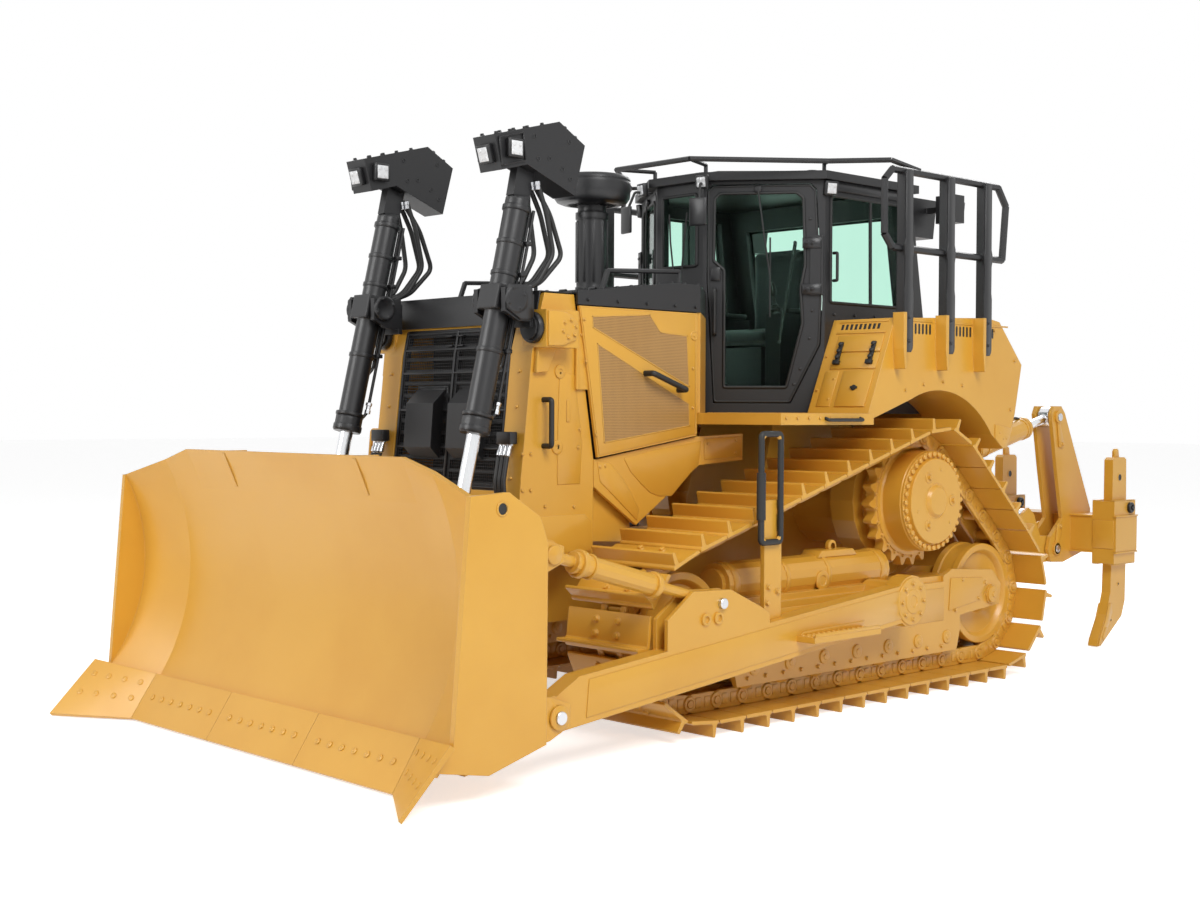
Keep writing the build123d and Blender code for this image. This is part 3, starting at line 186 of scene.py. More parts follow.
# ---------------------------------------------------------------- black steel
# The hood, cab, cylinders, grille and rails are steel in a textured charcoal powder coat. The
# barrels are smoother, so they take a sharper shine.
charcoal = painted_steel("charcoal_coat", (0.009, 0.009, 0.01), (0.006, 0.006, 0.007), (0.026, 0.026, 0.028),
    0.42, 0.05, 0.25)
barrel_coat = painted_steel("barrel_coat", (0.01, 0.01, 0.011), (0.006, 0.006, 0.007), (0.026, 0.026, 0.028),
    0.34, 0.12, 0.1, edge=0.022)
dress(charcoal, "hood_top", "hood_rails", "air_precleaner", "cab", "cab_roof", "cab_door_left",
    "cab_door_right", "guard_rails", "lamp_box_left", "lamp_box_right", "rear_work_lamps", "lift_yokes",
    "grille", "radiator", "engine", "seat_base_and_consoles")
dress(barrel_coat, "lift_barrel_left", "lift_barrel_right")

# ---------------------------------------------------------------- tracks
# Each track is forty forged links a side, pinned through bushings, with a rolled shoe bolted
# over every pair of links. A shoe is a bent plate with one tall grouser near its trailing edge.
SPROCKET_Y = 0.827
GAUGE_HALF = 1.05
SHOE_COUNT = 40
SPROCKET_TEETH = 23
IDLER_PIN_RADIUS = 0.42
SPROCKET_AXLE = (0.0, 1.253)
PIN_HEIGHT = 0.058 + 0.022 + 0.075
IDLER_HEIGHT = PIN_HEIGHT + IDLER_PIN_RADIUS
IDLER_AXLES = ((-2.3, IDLER_HEIGHT), (0.77, IDLER_HEIGHT))
SIDES = (("left", 1), ("right", -1))
yellow_finish = (yellow, "yellow_paint")
black_finish = (charcoal, "dark_paint")
coat_finish = (barrel_coat, "dark_paint")


def at(x, back, up):
    """A point counted from the sprocket axle: across, back from the axle, and above the ground."""
    return Vector((x, back + SPROCKET_Y, up))


def blank(name, shape):
    """The finished mesh of a shape, its faces turned outwards."""
    mesh = bpy.data.meshes.new(name)
    bmesh.ops.recalc_face_normals(shape, faces=shape.faces[:])
    shape.to_mesh(mesh)
    shape.free()
    return mesh


def piece(name, shape, finish, body="tractor", sharp=38):
    """Makes the finished object of a shape, dresses it and rides it on its body."""
    mesh = blank(name, shape)
    for polygon in mesh.polygons:
        polygon.use_smooth = True
    mesh.set_sharp_from_angle(angle=math.radians(sharp))
    material, slot = finish
    mesh.materials.append(material)
    obj = bpy.data.objects.new(name, mesh)
    stage.collection.objects.link(obj)
    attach(obj, body)
    return obj


def aim(point, direction):
    """The place of a part that stands at a point with its axis in a direction."""
    return Matrix.Translation(point) @ Vector(direction).to_track_quat("Z", "Y").to_matrix().to_4x4()


def pairs(*sizes):
    """Pairs of sizes given in millimetres, such as (back, up) corners or the steps of a lathe profile."""
    return [(a / 1000, b / 1000) for a, b in zip(sizes[::2], sizes[1::2])]


def cut_plate(shape, corners, thickness, soften=0.003):
    """A plate flame-cut along its corners, thick towards the side the vector points to."""
    face = shape.faces.new([shape.verts.new(corner) for corner in corners])
    raised = bmesh.ops.extrude_face_region(shape, geom=[face])["geom"]
    verts = [part for part in raised if isinstance(part, bmesh.types.BMVert)]
    bmesh.ops.translate(shape, vec=Vector(thickness), verts=verts)
    if soften:
        rims = {edge for vert in list(face.verts) + verts for edge in vert.link_edges}
        bmesh.ops.bevel(shape, geom=list(rims), affect="EDGES", offset=soften, segments=2, profile=0.5,
            material=-1, clamp_overlap=True)


def stamp(shape, mesh, place):
    """Adds a copy of a finished blank at a place."""
    moved = mesh.copy()
    moved.transform(place)
    shape.from_mesh(moved)
    bpy.data.meshes.remove(moved)


def turned(shape, profile, place, sides=32):
    """A part turned on a lathe: (distance along, radius) steps spun round the place's own Z axis."""
    part = bmesh.new()
    verts = [part.verts.new((radius, 0, along)) for along, radius in profile]
    edges = [part.edges.new(pair) for pair in zip(verts, verts[1:])]
    bmesh.ops.spin(part, geom=verts + edges, cent=(0, 0, 0), axis=(0, 0, 1), angle=2 * math.pi, steps=sides,
        use_merge=True, use_duplicate=False)
    bmesh.ops.remove_doubles(part, verts=part.verts[:], dist=0.00005)
    mesh = blank("turned_part", part)
    stamp(shape, mesh, place)
    bpy.data.meshes.remove(mesh)


bolt_shape = bmesh.new()
turned(bolt_shape, [(0, 0), (0, 0.62), (0.1, 0.62), (0.12, 0.58), (0.12, 0)], Matrix(), sides=14)
turned(bolt_shape, [(0.1, 0), (0.1, 0.5), (0.5, 0.5), (0.58, 0.42), (0.58, 0)], Matrix(), sides=6)
bolt_blank = blank("bolt_blank", bolt_shape)


def bolts(shape, points, direction, width=0.03):
    """Hexagon bolts with their washers, heads pointing in a direction."""
    for point in points:
        stamp(shape, bolt_blank, aim(point, direction) @ Matrix.Scale(width, 4))


def loop_segments(sprocket_pin_radius):
    """The pin line as arcs round the two idlers and the sprocket and straight runs between them."""
    circles = [(IDLER_AXLES[0], IDLER_PIN_RADIUS), (IDLER_AXLES[1], IDLER_PIN_RADIUS),
        (SPROCKET_AXLE, sprocket_pin_radius)]
    normals = []
    for (here, r_here), (there, r_there) in zip(circles, circles[1:] + circles[:1]):
        dy, dz = there[0] - here[0], there[1] - here[1]
        normals.append(math.atan2(dz, dy) - math.acos((r_here - r_there) / math.hypot(dy, dz)))
    segments = []
    for i, (centre, radius) in enumerate(circles):
        following, r_next = circles[(i + 1) % 3]
        arrive, leave = normals[i - 1], normals[i]
        segments.append(("arc", centre, radius, arrive, (leave - arrive) % (2 * math.pi) * radius))
        a = (centre[0] + radius * math.cos(leave), centre[1] + radius * math.sin(leave))
        b = (following[0] + r_next * math.cos(leave), following[1] + r_next * math.sin(leave))
        segments.append(("run", a, b, leave, math.hypot(b[0] - a[0], b[1] - a[1])))
    return segments


def loop_point(segments, distance):
    """The point of the pin line at a distance along it."""
    distance %= sum(segment[4] for segment in segments)
    for kind, first, second, angle, length in segments:
        if distance <= length:
            break
        distance -= length
    if kind == "arc":
        angle += distance / second
        return (first[0] + second * math.cos(angle), first[1] + second * math.sin(angle))
    return (first[0] + (second[0] - first[0]) * distance / length,
        first[1] + (second[1] - first[1]) * distance / length)


sprocket_pin_radius = 0.4178
for _ in range(20):
    loop = loop_segments(sprocket_pin_radius)
    shoe_pitch = sum(segment[4] for segment in loop) / SHOE_COUNT
    sprocket_pin_radius = SPROCKET_TEETH * shoe_pitch / (4 * math.pi)
first_pin = sum(segment[4] for segment in loop[:4])
sprocket_phase = loop[4][3]
pins = [loop_point(loop, first_pin + i * shoe_pitch) for i in range(SHOE_COUNT)]

# one shoe, its length along Y from the pin and its outer face towards Z
shoe_shape = bmesh.new()
shoe_section = pairs(10, 59, 10, 74, 20, 80, 176, 80, 186, 90, 190, 150, 195, 154.5, 206, 154.5, 211, 150,
    216, 84, 226, 79, 231, 70, 231, 59)
cut_plate(shoe_shape, [(-0.3225, along, out) for along, out in shoe_section], (0.645, 0, 0), soften=0)
for x in (-0.085, 0.085):
    bolts(shoe_shape, [(x, 0.06, 0.08), (x, 0.14, 0.08)], (0, 0, 1), 0.036)
shoe_blank = blank("shoe_blank", shoe_shape)

# one link plate, with pads standing on its outer face where the link's bolt windows are sunk
link_shape = bmesh.new()
link_outline = pairs(-44, 6, -36, -30, -12, -48, 40, -54, 190, -54, 240, -48, 266, -28, 272, 6, 262, 34,
    238, 46, 206, 57, 36, 57, 4, 46, -30, 34)
cut_plate(link_shape, [(0.062, along, out) for along, out in link_outline], (0.028, 0, 0), soften=0.003)
for start in (0.052, 0.128):
    cut_plate(link_shape, [(0.0895, start, -0.03), (0.0895, start + 0.046, -0.03),
        (0.0895, start + 0.046, 0.03), (0.0895, start, 0.03)], (0.0045, 0, 0), soften=0.0015)
turned(link_shape, pairs(62, 0, 62, 47, 96, 47, 100, 43, 100, 30, 96, 28, 96, 24, 104, 22, 104, 0),
    Matrix.Rotation(math.pi / 2, 4, "Y"), sides=16)
turned(link_shape, pairs(52, 34, 52, 44, 64, 46),
    Matrix.Translation((0, shoe_pitch, 0)) @ Matrix.Rotation(math.pi / 2, 4, "Y"), sides=16)
link_blank = blank("link_blank", link_shape)

bushing_shape = bmesh.new()
turned(bushing_shape, pairs(-60, 26, -60, 31, -52, 32.5, 52, 32.5, 60, 31, 60, 26), Matrix.Rotation(math.pi / 2,
    4, "Y"), sides=16)
bushing_blank = blank("bushing_blank", bushing_shape)

for side, sign in SIDES:
    track = bmesh.new()
    for i, (back, up) in enumerate(pins):
        following = pins[(i + 1) % SHOE_COUNT]
        run = Vector((0, following[0] - back, following[1] - up)).normalized()
        out = Vector((0, run.z, -run.y))
        facing = Matrix(((1, 0, 0), run, out)).transposed().to_4x4()
        place = Matrix.Translation(at(sign * GAUGE_HALF, back, up)) @ facing
        stamp(track, shoe_blank, place)
        stamp(track, bushing_blank, place)
        stamp(track, link_blank, place)
        stamp(track, link_blank, place @ Matrix.Scale(-1, 4, (1, 0, 0)))
    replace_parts(piece(f"track_chain_{side}", track, yellow_finish), f"track_{side}")
for spent in (shoe_blank, link_blank, bushing_blank):
    bpy.data.meshes.remove(spent)

# ---------------------------------------------------------------- sprockets
# A cast drum carries the toothed segments, bolted on in a ring. Its outer face is a cover held by
# a ring of studs, with three bosses round the hub.
tooth_root = sprocket_pin_radius - 0.032
tooth_steps = ((0.0, 0.0), (0.14, 0.004), (0.24, 0.012), (0.33, 0.035), (0.42, 0.052), (0.47, 0.054),
    (0.53, 0.054), (0.58, 0.052), (0.67, 0.035), (0.76, 0.012), (0.86, 0.004))
drives = bmesh.new()
for sign in (1, -1):
    axle = at(sign * GAUGE_HALF, *SPROCKET_AXLE)
    teeth = []
    for i in range(SPROCKET_TEETH):
        for share, rise in tooth_steps:
            angle = sprocket_phase + (i + share) * 2 * math.pi / SPROCKET_TEETH
            radius = tooth_root + rise
            teeth.append(axle + Vector((-0.034, radius * math.cos(angle), radius * math.sin(angle))))
    cut_plate(drives, teeth, (0.068, 0, 0), soften=0)
    outward = aim(axle, (sign, 0, 0))
    turned(drives, pairs(30, 372, 46, 368, 50, 345, 60, 336, 196, 334, 200, 330, 215, 330, 218, 326, 218, 288,
        224, 284, 246, 282, 250, 277, 250, 122, 246, 117, 246, 108, 251, 103, 262, 98, 270, 88, 272, 0),
        outward, sides=72)
    for i in range(36):
        angle = i * math.pi / 18
        stud = outward @ Matrix.Translation((0.31 * math.cos(angle), 0.31 * math.sin(angle), 0.216))
        turned(drives, pairs(0, 18, 16, 18, 21, 13, 22, 0), stud, sides=10)
    for i in range(3):
        angle = math.pi / 2 + i * 2 * math.pi / 3
        boss = outward @ Matrix.Translation((0.182 * math.sin(angle), 0.182 * math.cos(angle), 0.249))
        turned(drives, pairs(0, 36, 6, 36, 8, 33, 8, 22, 5, 20, 5, 14, 20, 12, 22, 9, 22, 0), boss, sides=20)
        plug = outward @ Matrix.Translation((0.215 * math.sin(angle + 0.75), 0.215 * math.cos(angle + 0.75),
            0.249))
        turned(drives, pairs(0, 12, 5, 11, 6, 0), plug, sides=12)
    for i in range(25):
        angle = i * 2 * math.pi / 25
        for face, way in ((0.034, 1), (-0.034, -1)):
            bolts(drives, [axle + Vector((sign * face, 0.377 * math.cos(angle), 0.377 * math.sin(angle)))],
                (sign * way, 0, 0), 0.022)
sprocket_piece = piece("drive_sprockets", drives, yellow_finish, sharp=30)
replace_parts(sprocket_piece, "sprockets")

# ---------------------------------------------------------------- idlers, rollers and track frames
# Forged idlers and rollers turn in sealed hubs. The track frame is a welded box with the recoil
# spring's tube on top and roller guards bolted below.
idler_tread = 0.3487
ROLLER_Z = PIN_HEIGHT + 0.055 + 0.115 + 0.0003
ROLLER_BACKS = [-1.74 + i * 0.33 for i in range(7)]


def row(x, places):
    """Points in one upright plane: all the same distance across, each (back, up)."""
    return [at(x, back, up) for back, up in places]


def side_plate(shape, x, outline, thickness, soften=0.003):
    """A plate that stands fore and aft, its outline in (back, up), thick across the machine."""
    cut_plate(shape, row(x, outline), (thickness, 0, 0), soften)


def side_boss(shape, steps, x, back, up, way, sides):
    """A turned part on the machine's side, its axis across the machine."""
    turned(shape, steps, aim(at(x, back, up), (way, 0, 0)), sides)


def band(width, radius, inner, drop=0.003, chamfer=0.003):
    """Lathe steps of a band round a tube, chamfered at both ends, its chamfers dropping towards the tube."""
    return [(0, inner), (0, radius - drop), (chamfer, radius), (width - chamfer, radius),
        (width, radius - drop), (width, inner)]


rolling = bmesh.new()
for sign in (1, -1):
    for axle in IDLER_AXLES:
        for way in (1, -1):
            side_boss(rolling, [(0, idler_tread - 0.012), (0.046, idler_tread - 0.01), (0.052, idler_tread),
                (0.097, idler_tread), (0.101, idler_tread - 0.005), (0.101, idler_tread - 0.042),
                (0.094, idler_tread - 0.052), (0.062, idler_tread - 0.07), (0.058, 0.15), (0.064, 0.136),
                (0.118, 0.118), (0.126, 0.11), (0.13, 0.1), (0.13, 0)], sign * GAUGE_HALF, *axle, way, 64)
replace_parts(piece("idler_wheels", rolling, yellow_finish, sharp=30), "idlers")

rollers = bmesh.new()
for sign in (1, -1):
    for back in ROLLER_BACKS:
        for way in (1, -1):
            side_boss(rollers, pairs(0, 98, 50, 98, 56, 114.8, 94, 114.8, 98, 110, 98, 132, 112, 132, 118, 122,
                120, 70, 140, 62, 140, 0), sign * GAUGE_HALF, back, ROLLER_Z, way, 28)
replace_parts(piece("track_rollers", rollers, yellow_finish, sharp=30), "rollers")

frames = bmesh.new()
for sign in (1, -1):
    middle = sign * GAUGE_HALF
    tube_axis = lambda back: aim(at(middle, back, 0.82), (0, 1, 0))
    for back, width in pairs(-1860, 50, -1380, 35, -980, 35, -430, 60):
        turned(frames, band(width, 0.1295, 0.12, 0.002), tube_axis(back), sides=40)
    # anchor block with its loop on the tube, and the grease cover in front of it
    side_plate(frames, middle - 0.075, pairs(-1020, 925, -620, 925, -660, 968, -980, 968), 0.15, 0.006)
    side_boss(frames, pairs(-18, 22, -14, 40, 14, 40, 18, 22), middle, -0.8, 0.985, 1, 24)
    side_boss(frames, pairs(0, 62, 10, 62, 14, 56, 14, 34, 8, 30, 8, 0), middle + 0.12 * sign, -1.04, 0.79,
        sign, 32)
    for way in (1, -1):
        face = middle + way * 0.175
        bolts(frames, [at(face, -1.8 + 0.165 * i, ROLLER_Z - 0.055) for i in range(13)], (way, 0, 0), 0.024)
        bolts(frames, row(face, pairs(-2360, 620, -2300, 500, 620, 560, 700, 660, 340, 500, 420, 700)),
            (way, 0, 0), 0.026)
        # cover plates welded on the guards, and the roller ends' cups
        side_plate(frames, face, pairs(-1720, 440, 200, 440, 200, 660, -1720, 660), way * 0.004, 0.0015)
        side_plate(frames, face, pairs(260, 500, 600, 540, 740, 620, 660, 700, 280, 720), way * 0.006, 0.002)
        for back in ROLLER_BACKS:
            side_boss(frames, pairs(0, 46, 8, 44, 11, 36, 11, 20, 16, 16, 16, 0), face, back, ROLLER_Z, way, 20)
        for axle in IDLER_AXLES:
            side_boss(frames, pairs(0, 60, 12, 58, 16, 48, 16, 22, 24, 18, 24, 0), middle + way * 0.19, *axle,
                way, 24)
piece("track_frame_fittings", frames, yellow_finish)

# ---------------------------------------------------------------- blade
# The moldboard is a rolled sheet on box beams. Its edge and end bits are bolted on with flush
# plow bolts, and welds run along the seams between sheet, wings and beams.
EDGE_OUT = Vector((0, -0.832, 0.5547))
WING_BORE = (1.68, -4.071, 1.375)
LIFT_X = 0.604
plow_shape = bmesh.new()
turned(plow_shape, [(0, 0.5), (0.1, 0.5), (0.16, 0.4), (0.16, 0.2), (0.1, 0.16), (0.1, 0)], Matrix(), sides=16)
plow_blank = blank("plow_blank", plow_shape)
fittings = bmesh.new()
for x in [i * 0.1075 for i in range(-11, 12)]:
    if abs(abs(x) - 0.43) > 0.03:
        stamp(fittings, plow_blank, aim(at(x, -4.333, 0.1472), EDGE_OUT) @ Matrix.Scale(0.036, 4))
for sign in (1, -1):
    lower_in, upper_in = at(sign * 1.289, -4.416, 0.02), at(sign * 1.289, -4.252, 0.266)
    lower_out, upper_out = at(sign * 1.734, -4.711, 0.024), at(sign * 1.734, -4.42, 0.32)
    for share in (0.14, 0.38, 0.62, 0.84):
        low, high = lower_in.lerp(lower_out, share), upper_in.lerp(upper_out, share)
        facing = (high - low).cross(lower_out - lower_in) * sign
        if facing.y > 0:
            facing.negate()
        for up in (0.42, 0.76):
            stamp(fittings, plow_blank, aim(low.lerp(high, up), facing) @ Matrix.Scale(0.036, 4))
    # ring round the bore in the wing plate, and pin plates on the lugs
    side_boss(fittings, pairs(0, 36, 4, 36, 6, 33, 6, 28, -1, 27), sign * WING_BORE[0], *WING_BORE[1:], sign,
        28)
    for x, centre, radius in ((1.54, (-3.582, 0.311), 0.062), (1.51, (-3.592, 1.12), 0.048)):
        side_boss(fittings, [(0, radius), (0.01, radius), (0.013, radius - 0.004), (0.013, 0.02),
            (0.017, 0.014), (0.017, 0)], sign * x, *centre, sign, 28)
    for way in (1, -1):
        side_boss(fittings, pairs(0, 50, 10, 50, 13, 46, 13, 0), sign * (LIFT_X + way * 0.072), -3.5935, 0.726,
            sign * way, 24)
piece("blade_fittings", fittings, yellow_finish, "blade")

# the curved weldment itself, ground flush along its crest
board = bmesh.new()
board.from_mesh(nodes["moldboard"].data)
bmesh.ops.remove_doubles(board, verts=board.verts[:], dist=0.00002)
crest = max(vert.co.z for vert in board.verts if abs(abs(vert.co.x) - 0.64) > 0.05) + 0.0004
bmesh.ops.bisect_plane(board, geom=board.verts[:] + board.edges[:] + board.faces[:], plane_co=(0, 0, crest),
    plane_no=(0, 0, 1), clear_outer=True)
bmesh.ops.holes_fill(board, edges=[edge for edge in board.edges if edge.is_boundary], sides=0)
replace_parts(piece("board_weldment", board, yellow_finish, "blade", sharp=3), "moldboard")


def bead(name, runs, radius, finish, body, bend=0.03, closed=False):
    """A weld bead, hose or bent bar along corners, rounded over a bend length."""
    data = bpy.data.curves.new(name, "CURVE")
    data.dimensions = "3D"
    data.bevel_depth = radius
    data.bevel_resolution = 4
    data.resolution_u = 8
    data.use_fill_caps = True
    for run in runs:
        run = [Vector(point) for point in run]
        legs = list(zip(run[-1:] + run[:-1], run, run[1:] + run[:1]))
        route = []
        for before, corner, after in legs if closed else legs[1:-1]:
            route += [corner.lerp(before, min(0.45, bend / (before - corner).length)), corner,
                corner.lerp(after, min(0.45, bend / (after - corner).length))]
        if not closed:
            route = run[:1] + route + run[-1:]
        spline = data.splines.new("NURBS")
        spline.points.add(len(route) - 1)
        for point, place in zip(spline.points, route):
            point.co = (*place, 1)
        spline.order_u = 3
        if closed:
            spline.use_cyclic_u = True
        else:
            spline.use_endpoint_u = True
    material, slot = finish
    data.materials.append(material)
    obj = bpy.data.objects.new(name, data)
    stage.collection.objects.link(obj)
    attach(obj, body)
    return obj


seams = []
for sign in (1, -1):
    for x in (0.286, 0.806, 1.166):
        seams.append([at(sign * (x - 0.002), -4.008, 0.56), at(sign * (x - 0.002), -4.004, 1.02)])
seams.append([at(-1.62, -3.79, 0.562), at(1.62, -3.79, 0.562)])
seams.append([at(-1.62, -3.792, 1.0), at(1.62, -3.792, 1.0)])
bead("blade_welds", seams, 0.005, yellow_finish, "blade")

# dark disc in each wing plate's bore: painted shade standing for the inside of the hole
black_rubber = painted_steel("black_rubber", (0.012, 0.012, 0.012), (0.008, 0.008, 0.008), (0.03, 0.03, 0.03),
    0.5, 0.0, 0.35, edge=0.003)
rubber_finish = (black_rubber, "dark_paint")
bore_shade_discs = bmesh.new()
for sign in (1, -1):
    side_boss(bore_shade_discs, pairs(0, 28.5, 1.5, 28.5, 1.5, 0), sign * WING_BORE[0], *WING_BORE[1:], sign, 28)
piece("wing_bore_shade", bore_shade_discs, rubber_finish, "blade")

# ---------------------------------------------------------------- push arms and brace
# Box-section arms of welded plate, with the side plate set in from the flanges, a folded step,
# a flat grab post and turned pins with bright zinc heads.
zinc = painted_steel("zinc_plate", (0.62, 0.63, 0.65), (0.5, 0.51, 0.53), (0.8, 0.8, 0.82), 0.28, 0.0, 0.08,
    edge=0.002, metallic=1.0)
zinc_finish = (zinc, "chrome_rod")
arms = bmesh.new()
for sign in (1, -1):
    side_plate(arms, sign * 1.5, pairs(-3360, 276, -660, 550, -660, 728, -3340, 472), sign * 0.005, 0.002)
    side_boss(arms, pairs(0, 150, 6, 150, 10, 145, 10, 78, 16, 74, 16, 40, 10, 36, 10, 0), sign * 1.5, -0.55,
        0.65, sign, 48)
    bolts(arms, [at(sign * 1.51, -0.55 + 0.112 * math.cos(a), 0.65 + 0.112 * math.sin(a))
        for a in (i * math.pi / 4 for i in range(8))], (sign, 0, 0), 0.026)
    for back in (-2.468, -2.366):
        side_boss(arms, pairs(0, 34, 12, 34, 15, 30, 15, 20, 4, 19, 4, 0), sign * 1.5, back, 0.7, sign, 24)
# strut collars, the brace's jam nuts and the tilt cylinder's head
for sign in (1, -1):
    low, high = at(sign * 1.444, -3.592, 1.12), at(sign * 1.444, -2.335, 0.779)
    way = (high - low).normalized()
    for share, width, radius in ((0.17, 0.035, 0.074), (0.235, 0.014, 0.068), (0.6, 0.03, 0.072)):
        turned(arms, band(width, radius, 0.055, 0.004, 0.004), aim(low.lerp(high, share), way), sides=32)
piece("arm_fittings", arms, yellow_finish, "blade")

bright = bmesh.new()
for sign in (1, -1):
    side_boss(bright, pairs(0, 30, 20, 30, 24, 26, 24, 0), sign * 1.502, -2.335, 0.779, sign, 24)
    side_boss(bright, pairs(0, 34, 12, 34, 16, 30, 16, 0), sign * 1.553, -3.582, 0.311, sign, 24)
piece("pin_heads", bright, zinc_finish, "blade")

step = bmesh.new()
side_plate(step, 1.502, pairs(-1660, 540, -1090, 540, -1050, 572, -1640, 556), 0.012, 0.002)
side_plate(step, 1.628, pairs(-1680, 538, -1070, 538, -1070, 560, -1680, 560), 0.011, 0.002)
for i in range(13):
    for x in (1.53, 1.566, 1.602):
        turned(step, pairs(0, 12, 4, 10, 6, 6, 6, 0), aim(at(x, -1.66 + 0.047 * i, 0.54), (0, 0, 1)), sides=10)
bolts(step, row(1.44, pairs(-1880, 740, -1790, 800, -1870, 830)), (1, 0, 0), 0.03)
piece("arm_step", step, yellow_finish, "blade")

loop_corners = [at(1.46, back, up) for back, up in pairs(-1960, 1090, -1960, 1710, -1790, 1710, -1790, 1090)]
bead("grab_loop", [loop_corners], 0.0185, rubber_finish, "blade", bend=0.05, closed=True)
bead("grab_grip", [[at(1.46, -1.96, 1.22), at(1.46, -1.96, 1.36), at(1.46, -1.96, 1.49)]], 0.027, rubber_finish,
    "blade")

# ---------------------------------------------------------------- radiator guard and grille
# A welded guard frames the radiator. Its sides carry access covers, a bent grab handle, bolts
# and latches, and the grille in front is expanded mesh over a slatted frame, hinged in the middle.
guard = bmesh.new()
for sign in (1, -1):
    side_face = sign * 0.69
    # access cover, edged by the panel joint, with round latch pads at its ends
    side_plate(guard, side_face, pairs(-2815, 2060, -2700, 2045, -2640, 1660, -2655, 1420, -2830, 1420,
        -2830, 1630), sign * 0.004, 0.0015)
    for back, up in ((-2.812, 2.06), (-2.832, 1.632)):
        side_boss(guard, pairs(0, 40, 7, 39, 9, 34, 9, 16, 4, 14, 4, 0), side_face, back, up, sign, 28)
    side_plate(guard, side_face + sign * 0.004, pairs(-2765, 1775, -2737, 1775, -2737, 1900, -2765, 1900),
        sign * 0.006, 0.003)
    bolts(guard, row(side_face, pairs(-3090, 1597, -3030, 1597, -3090, 1394, -3030, 1394, -2920, 1300,
        -2700, 1290)), (sign, 0, 0), 0.018)
    bolts(guard, [at(side_face + sign * 0.004, -2.66, 1.731), at(side_face + sign * 0.004, -2.67, 1.628)],
        (sign, 0, 0), 0.018)
    # skirt below the joint line, turned down to the case
    side_plate(guard, side_face, pairs(-3075, 1245, -2620, 1245, -2565, 1200, -2565, 1030, -3060, 1030),
        sign * 0.005, 0.002)
    # trunnion bracket: block, gusset plate and the round flange with six bolts
    side_plate(guard, sign * 0.8, pairs(-3004, 2392, -2900, 2392, -2830, 2372, -2784, 2330, -2778, 2280,
        -2800, 2235, -2900, 2200, -3004, 2198), sign * 0.014, 0.003)
    side_plate(guard, sign * 0.692, pairs(-3000, 2200, -2860, 2200, -2930, 2055, -3016, 2050), sign * 0.03,
        0.004)
    side_boss(guard, pairs(0, 82, 10, 82, 14, 77, 14, 0), sign * 0.69, -2.7, 2.31, sign, 40)
    for i in range(6):
        angle = i * math.pi / 3 + 0.3
        bolts(guard, [at(sign * 0.704, -2.7 + 0.055 * math.cos(angle), 2.31 + 0.055 * math.sin(angle)),
            at(sign * 0.814, -2.85 + 0.05 * math.cos(angle), 2.296 + 0.05 * math.sin(angle))], (sign, 0, 0),
            0.02)
    # bolts up the front flange
    bolts(guard, [at(sign * 0.6, -3.0995 + 0.112 * (up - 1.45), up) for up in (1.46, 1.66, 1.86, 2.06)],
        (0, -1, 0.1), 0.018)
piece("guard_fittings", guard, yellow_finish)


def across(x_low, x_high, first, second):
    """Four corners that reach across the machine between two edges, each edge given as (back, up)."""
    return [at(x_low, *first), at(x_high, *first), at(x_high, *second), at(x_low, *second)]


bead("guard_handles", [across(sign * 0.69, sign * 0.76, (-2.935, 1.9), (-2.935, 1.64)) for sign in (1, -1)],
    0.0155, rubber_finish, "tractor", bend=0.035)
bead("front_handle", [[at(-0.69, -3.06, 1.5), at(-0.775, -3.075, 1.5), at(-0.775, -3.055, 1.715),
    at(-0.69, -3.035, 1.715)]], 0.012, yellow_finish, "tractor", bend=0.035)


def grille_back(up):
    """How far back the grille's face stands at a height: it leans, and more so above the fold."""
    return -3.092 + (up - 1.385) * 0.107 if up < 2.17 else -3.008 + (up - 2.17) * 0.22


mesh_screen = bmesh.new()
bmesh.ops.create_grid(mesh_screen, x_segments=58, y_segments=52, size=0.5)
for vert in mesh_screen.verts:
    up = 1.395 + (vert.co.y + 0.5) * 0.915
    vert.co = at(vert.co.x * 1.005, grille_back(up) - 0.006, up)
bmesh.ops.wireframe(mesh_screen, faces=mesh_screen.faces[:], thickness=0.0035, offset=0, use_replace=True,
    use_even_offset=True)
piece("grille_mesh", mesh_screen, black_finish)

grille_trim = bmesh.new()
for x in (-0.503, -0.014, 0.485):
    side_plate(grille_trim, x, pairs(-3104, 1392, -3018, 2170, -2990, 2312, -2978, 2312, -3006, 2170,
        -3092, 1392), 0.018, 0.002)
for up in (1.4, 1.62, 1.84, 2.06, 2.2, 2.3):
    back = grille_back(up)
    side_plate(grille_trim, -0.5, ((back - 0.01, up - 0.006), (back, up - 0.006), (back, up + 0.006),
        (back - 0.01, up + 0.006)), 1.0, 0.002)
for x in (-0.06, 0.04):
    for low, high, left, wide in ((2.215, 2.224, x - 0.03, 0.06), (2.272, 2.281, x - 0.03, 0.06)):
        side_plate(grille_trim, left, ((-3.018, low), (-2.99, low), (-2.99, high), (-3.018, high)), wide, 0.002)
for x in (-0.2, 0.2):
    cut_plate(grille_trim, across(x - 0.145, x + 0.145, (-3.036, 1.545), (-3.015, 1.985)), (0, -0.01, 0), 0.003)
    bolts(grille_trim, [at(x + side * 0.13, back, up) for side in (1, -1) for back, up in ((-3.048, 1.565),
        (-3.026, 1.965))], (0, -1, 0.1), 0.014)
piece("grille_trim", grille_trim, black_finish)

# sheet over the grille, folded down at its front edge
nose = bmesh.new()
side_plate(nose, -0.685, pairs(-2990, 2330, -2952, 2505, -2706, 2505, -2706, 2512, -2958, 2512, -2998, 2330),
    1.37, 0.002)
bolts(nose, [at(x, -2.83, 2.512) for x in (-0.6, -0.3, 0.0, 0.3, 0.6)], (0, 0, 1), 0.02)
piece("nose_sheet", nose, black_finish)

